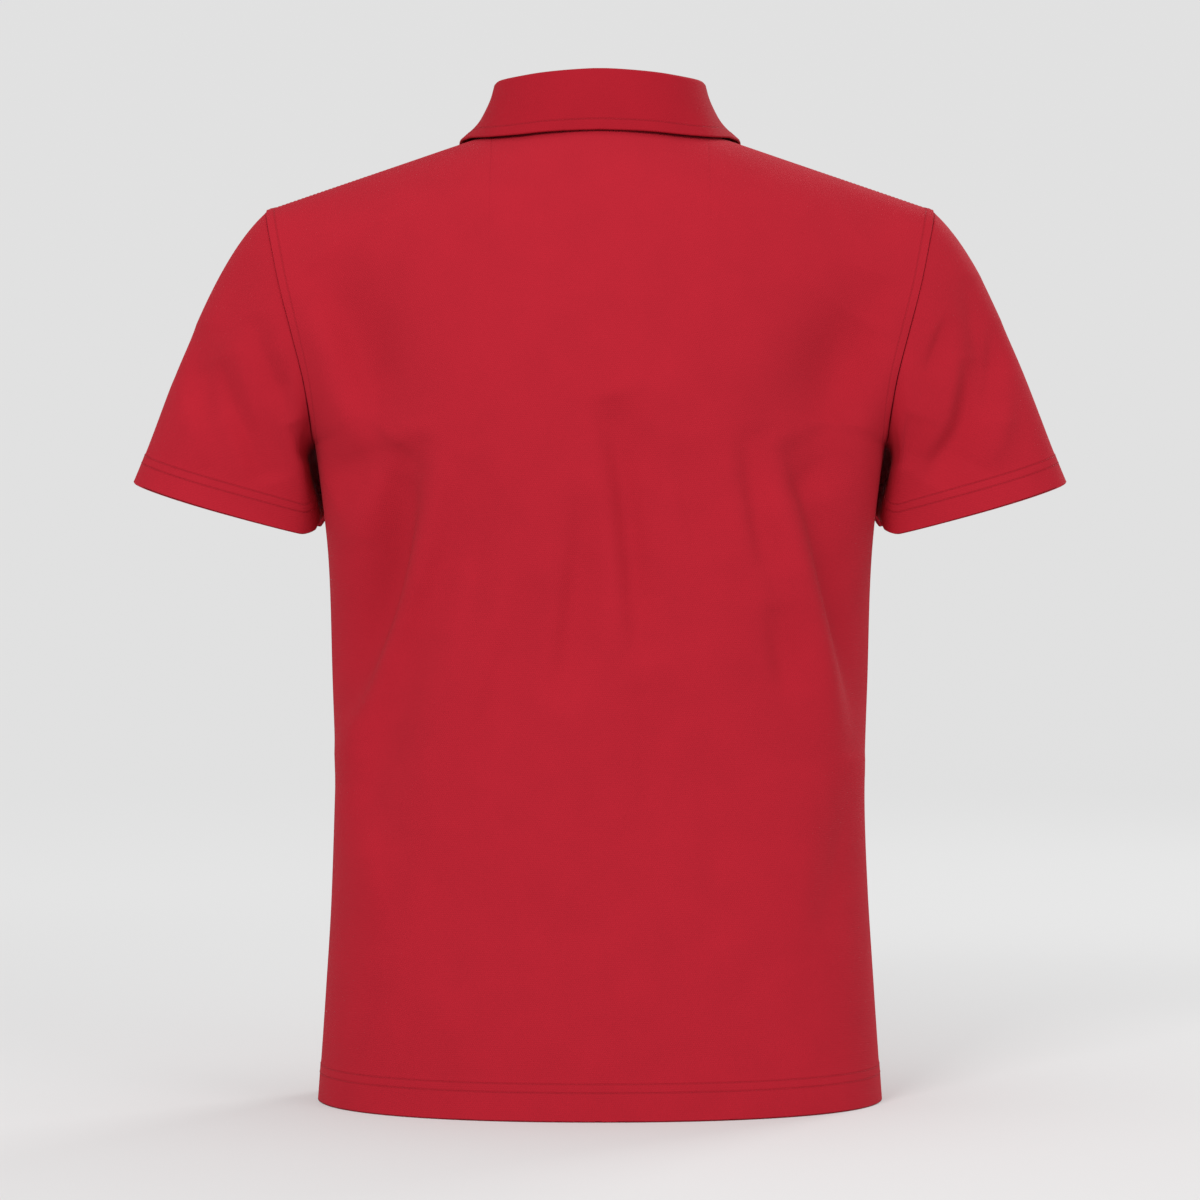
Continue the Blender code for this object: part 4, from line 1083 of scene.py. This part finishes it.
def make_stitch_tree(material):
    """Geometry nodes: short stitches along a line of points."""
    tree = bpy.data.node_groups.new("row of stitches", "GeometryNodeTree")
    add_socket(tree, "Line", "INPUT", "Geometry")
    add_socket(tree, "Pitch", "INPUT", "Float", STITCH_PITCH)
    add_socket(tree, "Stitch Length", "INPUT", "Float", STITCH_LENGTH)
    add_socket(tree, "Thread Radius", "INPUT", "Float", THREAD_RADIUS)
    add_socket(tree, "Stitches", "OUTPUT", "Geometry")
    entry = add_node(tree, "NodeGroupInput")
    curve = add_node(tree, "GeometryNodeMeshToCurve", {"Mesh": entry.outputs["Line"]})
    even = add_node(tree, "GeometryNodeResampleCurve",
                    {"Curve": curve.outputs["Curve"], "Length": entry.outputs["Pitch"]},
                    mode="LENGTH")
    tangent = add_node(tree, "GeometryNodeInputTangent")
    turn = add_node(tree, "FunctionNodeAlignRotationToVector",
                    {"Vector": tangent.outputs["Tangent"]}, axis="Z")
    grain = add_node(tree, "GeometryNodeMeshUVSphere", {"Segments": 6, "Rings": 5, "Radius": 1.0})
    radius = entry.outputs["Thread Radius"]
    half = put_math(tree, "MULTIPLY", entry.outputs["Stitch Length"], 0.5)
    size = add_node(tree, "ShaderNodeCombineXYZ", {"X": radius, "Y": radius, "Z": half})
    scaled = add_node(tree, "GeometryNodeTransform",
                      {"Geometry": grain.outputs["Mesh"], "Scale": size.outputs["Vector"]})
    spread = add_node(tree, "GeometryNodeInstanceOnPoints", {
        "Points": even.outputs["Curve"],
        "Instance": scaled.outputs["Geometry"],
        "Rotation": turn.outputs["Rotation"],
    })
    real = add_node(tree, "GeometryNodeRealizeInstances",
                    {"Geometry": spread.outputs["Instances"]})
    smooth = add_node(tree, "GeometryNodeSetShadeSmooth", {"Geometry": real.outputs["Geometry"]})
    finish = add_node(tree, "GeometryNodeSetMaterial",
                      {"Geometry": smooth.outputs["Geometry"], "Material": material})
    add_node(tree, "NodeGroupOutput", {"Stitches": finish.outputs["Geometry"]})
    return tree


def vary_with_noise(tree, shader, colour, noise_values, smoothest, rougher_by):
    """Give a shader a colour and a roughness that follow a fine noise; gives the noise."""
    place = add_node(tree, "ShaderNodeTexCoord")
    noise = add_node(tree, "ShaderNodeTexNoise", noise_values | {"Vector": place.outputs["Object"]})
    ramp = add_node(tree, "ShaderNodeValToRGB", {"Fac": noise.outputs["Fac"]})
    ramp.color_ramp.elements[0].color = [DARK_SHARE * part for part in colour[:3]] + [1.0]
    ramp.color_ramp.elements[1].color = colour
    rough = put_math(tree, "MULTIPLY", noise.outputs["Fac"], rougher_by)
    rough = put_math(tree, "ADD", rough, smoothest)
    feed(tree, shader, {"Base Color": ramp.outputs["Color"], "Roughness": rough})
    return noise


red_thread, thread_tree, thread_shader = new_material("red sewing thread", {
    "Sheen Weight": 0.03,
    "Sheen Tint": KNIT_SHEEN,
    "Specular IOR Level": 0.12,
})
twist = vary_with_noise(thread_tree, thread_shader, THREAD_RED, TWIST,
                        smoothest=0.52, rougher_by=0.15)
twist_bump = add_node(thread_tree, "ShaderNodeBump",
                      {"Distance": TWIST_DEPTH, "Height": twist.outputs["Fac"]})
feed(thread_tree, thread_shader, {"Normal": twist_bump.outputs["Normal"]})
stitch_tree = make_stitch_tree(red_thread)


def sew_rows(name, lines, pitch=STITCH_PITCH, stitch=STITCH_LENGTH, radius=THREAD_RADIUS):
    """Stitches along each of the lines, as one piece."""
    verts = []
    edges = []
    for line in lines:
        start = len(verts)
        verts += (np.asarray(line) - NECK_POINT_HEIGHT * UP).tolist()
        edges += [(start + step, start + step + 1) for step in range(len(line) - 1)]
    data = bpy.data.meshes.new(name + " line")
    data.from_pydata(verts, edges, [])
    line_object = add_object(name + " line", data)
    rows = line_object.modifiers.new("rows of stitches", "NODES")
    rows.node_group = stitch_tree
    sockets = {item.name: item.identifier for item in stitch_tree.interface.items_tree
               if item.in_out == "INPUT"}
    rows[sockets["Pitch"]] = pitch
    rows[sockets["Stitch Length"]] = stitch
    rows[sockets["Thread Radius"]] = radius
    seen = line_object.evaluated_get(bpy.context.evaluated_depsgraph_get())
    piece = add_object(name, bpy.data.meshes.new_from_object(seen))
    piece.data.name = name
    bpy.data.objects.remove(line_object, do_unlink=True)
    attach(piece, "root")
    return piece


def point_at(value, values, line):
    """The point of a line at which values, which rise along it, reach a value."""
    return np.array([np.interp(value, values, line[:, axis]) for axis in range(3)])


def line_across(points, normals, distance, place):
    """Line at a distance from a lower edge, one point in each column."""
    lifted = points + THREAD_LIFT * normals
    return np.array([point_at(place, distance[::-1, column], lifted[::-1, column])
                     for column in range(points.shape[1])])


def line_down(points, normals, distance, place, rows):
    """Line at a distance from the first column, one point in each of the rows."""
    lifted = points + THREAD_LIFT * normals
    picked = []
    for row in rows:
        away = distance[row]
        reach = max(int(np.argmax(away > 2.0 * place)), 2)
        picked.append(point_at(place, away[:reach], lifted[row, :reach]))
    return np.array(picked)


back_panel = panel_surface("back")
front_panel = panel_surface("front", SLIT_HALF_WIDTH)
hem_rows = []
armhole_rows = []
yoke_rows = range(ARMHOLE_ENDS[0], len(YOKE_LINES) - ARMHOLE_ENDS[1])
for panel in (back_panel, front_panel):
    for place in HEM_STITCHES:
        hem_rows.append(line_across(panel.points, panel.normals, panel.hem, place))
    for way in (1, -1):
        armhole_rows.append(line_down(panel.points[:, ::way], panel.normals[:, ::way],
                                      panel.armhole[:, ::way], WELT_WIDTH, yoke_rows))
sew_rows("stitches_hem", hem_rows)
sew_rows("stitches_armholes", armhole_rows)

near_shoulder = (slice(SHOULDER_ROWS, None, -1),
                 slice(SHOULDER_ENDS[0], COLUMNS["back"][0].count - SHOULDER_ENDS[1]))
shoulder_row = line_across(back_panel.points[near_shoulder], back_panel.normals[near_shoulder],
                           back_panel.shoulder[near_shoulder], SHOULDER_STITCH)
sew_rows("stitches_shoulders", [shoulder_row, mirrored(shoulder_row)])

cuff_rows = []
for place in CUFF_STITCHES:
    for sleeve_name, mirror in SLEEVE_SIDES.items():
        sleeve = sleeve_surface(sleeve_name)
        ring = line_across(sleeve.points, sleeve.normals, sleeve.hem, place)
        cuff_rows.append(np.concatenate([ring, ring[:1]]) * np.array([mirror, 1.0, 1.0]))
sew_rows("stitches_cuffs", cuff_rows)

first_column = int(np.argmax(leaf_distance[LEAF_ROW_PAST_CORNER] > COLLAR_STITCH))
between = slice(None), slice(first_column, -first_column)
leaf_row = line_across(leaf_points[between], leaf_normals[between], leaf_distance[between],
                       COLLAR_STITCH)
leaf_front = line_down(leaf_points, leaf_normals, leaf_distance, COLLAR_STITCH,
                       range(ROLL_STEPS, len(leaf_points) - LEAF_CORNER_ROWS))
sew_rows("stitches_collar", [leaf_row, leaf_front, mirrored(leaf_front)])

band_points, band_normals, band_cloth = placket_surface(PLACKET_SPREAD, -PLACKET_FOOT)
band_outer = band_points + PLACKET_PROUD * band_normals
band_row = line_down(band_outer, band_normals, band_cloth[..., 0], PLACKET_STITCH,
                     range(BAND_ENDS, len(band_outer) - BAND_ENDS))
between = slice(None), slice(BAND_ENDS, -BAND_ENDS)
to_foot = band_cloth[-1:, :, 1] - band_cloth[..., 1]
foot_rows = [line_across(band_outer[between], band_normals[between], to_foot[between], place)
             for place in (PLACKET_STITCH, PLACKET_BOX)]
sew_rows("stitches_placket", [band_row, mirrored(band_row)] + foot_rows)


# The buttons: three red resin discs with four holes, which keep the shapes of the frame's own
# nodes. Crossed thread sews them on through the under band, and each is pushed through an upright
# buttonhole edged with close satin stitches.
BUTTON_HEIGHTS = (0.606, 0.560, 0.513)
BUTTON_THICKNESS = 0.0024
BUTTON_EDGE = 0.0006
BUTTON_HOLE_REACH = 0.0014
BUTTONHOLE_HALF_LENGTH = 0.0072
BUTTONHOLE_HALF_WIDTH = 0.0011
BUTTONHOLE_STEPS = 40
BUTTONHOLE_SINK = 0.0002
BUTTONHOLE_END_POWER = 0.4
BUTTONHOLE_SIDE_POWER = 0.6
CROSS_LIFT = 0.0001
CROSS_ARCH = 0.0004
CROSS_STEPS = 8
BUTTON_RED = (0.300, 0.0090, 0.0170, 1.0)
CLOUD = {"Scale": 260.0, "Detail": 3.0}

button_resin, resin_tree, resin_shader = new_material("red button resin", {
    "Specular IOR Level": 0.18,
})
vary_with_noise(resin_tree, resin_shader, BUTTON_RED, CLOUD, smoothest=0.34, rougher_by=0.12)

plain_points, plain_normals, _ = placket_surface(1.0, 0.0)
centre = PLACKET_COLUMNS // 2
centre_line = plain_points[:, centre] + (PLACKET_PROUD + UNDER_BAND_GAP) * plain_normals[:, centre]
cross_rows = []
hole_rows = []
for number, height in enumerate(BUTTON_HEIGHTS, start=1):
    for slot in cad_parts[f"button_{number}"].material_slots:
        slot.material = button_resin
    place = point_at(height, centre_line[::-1, 2], centre_line[::-1])
    facing = unit(point_at(height, centre_line[::-1, 2], plain_normals[::-1, centre]))
    side = np.array([1.0, 0.0, 0.0])
    rise = np.cross(facing, side)
    rise *= np.sign(rise[2])
    top = place + facing * (BUTTON_THICKNESS - BUTTON_EDGE + CROSS_LIFT)
    reach = BUTTON_HOLE_REACH * np.sqrt(0.5)
    for turn in (1.0, -1.0):
        ends = [top + reach * sign * (side + turn * rise) for sign in (-1.0, 1.0)]
        cross_rows.append([ends[0] + (ends[1] - ends[0]) * t
                           + facing * CROSS_ARCH * np.sin(np.pi * t)
                           for t in np.linspace(0.0, 1.0, CROSS_STEPS + 1)])
    loop = []
    for step in np.linspace(0.0, 2.0 * np.pi, BUTTONHOLE_STEPS + 1):
        up, over = np.cos(step), np.sin(step)
        upright = BUTTONHOLE_HALF_LENGTH * np.sign(up) * np.abs(up) ** BUTTONHOLE_END_POWER
        sideways = BUTTONHOLE_HALF_WIDTH * np.sign(over) * np.abs(over) ** BUTTONHOLE_SIDE_POWER
        loop.append(place + rise * upright + side * sideways - facing * BUTTONHOLE_SINK)
    hole_rows.append(loop)
sew_rows("thread_buttons", cross_rows, pitch=0.00035, stitch=0.0009, radius=0.00032)
sew_rows("stitches_buttonholes", hole_rows, pitch=0.00045, stitch=0.0009, radius=0.00035)


# The studio: a round seamless sweep, pale grey under the shirt and darker but glowing farther out,
# so the background is even from every side. A big soft lamp stands high on the left, weaker ones
# at both sides, overhead and beyond. The camera is behind, level with the middle of the shirt.
FLOOR_HEIGHT = -NECK_POINT_HEIGHT
CAMERA_DISTANCE = 2.640
CAMERA_HEIGHT = 0.358
CAMERA_LENS = 110.0
CAMERA_SENSOR = 36.0
WHITE = (1.0, 1.0, 1.0, 1.0)
SWEEP_GREYS = (0.55, 0.10)
SWEEP_GLOWS = (0.165, 0.680)
SWEEP_REACH = (0.45, 2.2)
SWEEP_FLAT = 4.5
SWEEP_RINGS = (0.4, 1.0, 2.0, 3.2, SWEEP_FLAT)
SWEEP_BEND = 2.5
SWEEP_BEND_STEPS = 16
SWEEP_TOP = 7.0
SWEEP_SIDES = 96

sweep_material, sweep_tree, sweep_shader = new_material("studio sweep", {
    "Roughness": 0.9,
    "Specular IOR Level": 0.0,
    "Emission Color": WHITE,
})
sweep_material.cycles.emission_sampling = "NONE"
sweep_place = add_node(sweep_tree, "ShaderNodeTexCoord")
sweep_reach = add_node(sweep_tree, "ShaderNodeVectorMath", {0: sweep_place.outputs["Object"]},
                       operation="LENGTH")
for socket, (near, far) in (("Base Color", SWEEP_GREYS), ("Emission Strength", SWEEP_GLOWS)):
    fade = add_node(sweep_tree, "ShaderNodeMapRange", {
        "Value": sweep_reach.outputs["Value"],
        "From Min": SWEEP_REACH[0],
        "From Max": SWEEP_REACH[1],
        "To Min": near,
        "To Max": far,
    }, interpolation_type="SMOOTHSTEP")
    feed(sweep_tree, sweep_shader, {socket: fade.outputs["Result"]})
sweep_line = [(reach, 0.0) for reach in SWEEP_RINGS]
for angle in np.linspace(0.0, np.pi / 2.0, SWEEP_BEND_STEPS + 1)[1:]:
    sweep_line.append((SWEEP_FLAT + SWEEP_BEND * np.sin(angle),
                       SWEEP_BEND - SWEEP_BEND * np.cos(angle)))
sweep_line.append((SWEEP_FLAT + SWEEP_BEND, SWEEP_TOP))
sweep_verts = [(0.0, 0.0, FLOOR_HEIGHT)]
sweep_faces = []
for ring, (reach, rise) in enumerate(sweep_line):
    first = 1 + ring * SWEEP_SIDES
    for side in range(SWEEP_SIDES):
        turn = 2.0 * np.pi * side / SWEEP_SIDES
        sweep_verts.append((reach * np.cos(turn), reach * np.sin(turn), FLOOR_HEIGHT + rise))
        ahead = (side + 1) % SWEEP_SIDES
        if ring == 0:
            sweep_faces.append((0, first + side, first + ahead))
        else:
            below = first - SWEEP_SIDES
            sweep_faces.append((below + side, first + side, first + ahead, below + ahead))
sweep_data = bpy.data.meshes.new("studio_sweep")
sweep_data.from_pydata(sweep_verts, [], sweep_faces)
sweep_data.shade_smooth()
sweep_data.materials.append(sweep_material)
sweep = add_object("studio_sweep", sweep_data)

world = bpy.data.worlds.new("studio air")
world.use_nodes = True
feed(world.node_tree, world.node_tree.nodes["Background"], {"Color": WHITE, "Strength": 0.5})
bpy.context.scene.world = world
bpy.context.scene.view_settings.view_transform = "Standard"

Lamp = namedtuple("Lamp", "name place aim size power")
LAMPS = [
    Lamp("key", (1.15, 2.75, 1.4), (0.0, 0.0, -0.30), 1.0, 53.0),
    Lamp("left", (2.3, 1.5, 0.5), (0.0, 0.0, -0.30), 1.4, 2.0),
    Lamp("right", (-2.1, 2.2, 0.3), (0.0, 0.0, -0.35), 1.4, 20.0),
    Lamp("top", (0.0, 0.0, 2.3), (0.0, 0.0, -0.20), 1.4, 10.0),
    Lamp("far side", (-1.7, -2.3, 1.3), (0.0, 0.0, -0.30), 1.0, 34.0),
]
for lamp in LAMPS:
    light = bpy.data.lights.new(lamp.name, "AREA")
    light.shape = "SQUARE"
    light.size = lamp.size
    light.energy = lamp.power
    holder = add_object(lamp.name, light)
    holder.location = lamp.place
    way = np.array(lamp.aim) - np.array(lamp.place)
    yaw = np.arctan2(way[1], way[0]) - np.pi / 2.0
    pitch = np.arctan2(np.hypot(way[0], way[1]), -way[2])
    holder.rotation_euler = (pitch, 0.0, yaw)

camera_data = bpy.data.cameras.new("camera")
camera_data.lens = CAMERA_LENS
camera_data.sensor_width = CAMERA_SENSOR
camera = add_object("camera", camera_data)
camera.location = (0.0, CAMERA_DISTANCE, CAMERA_HEIGHT - NECK_POINT_HEIGHT)
camera.rotation_euler = (np.pi / 2.0, 0.0, np.pi)
bpy.context.scene.camera = camera
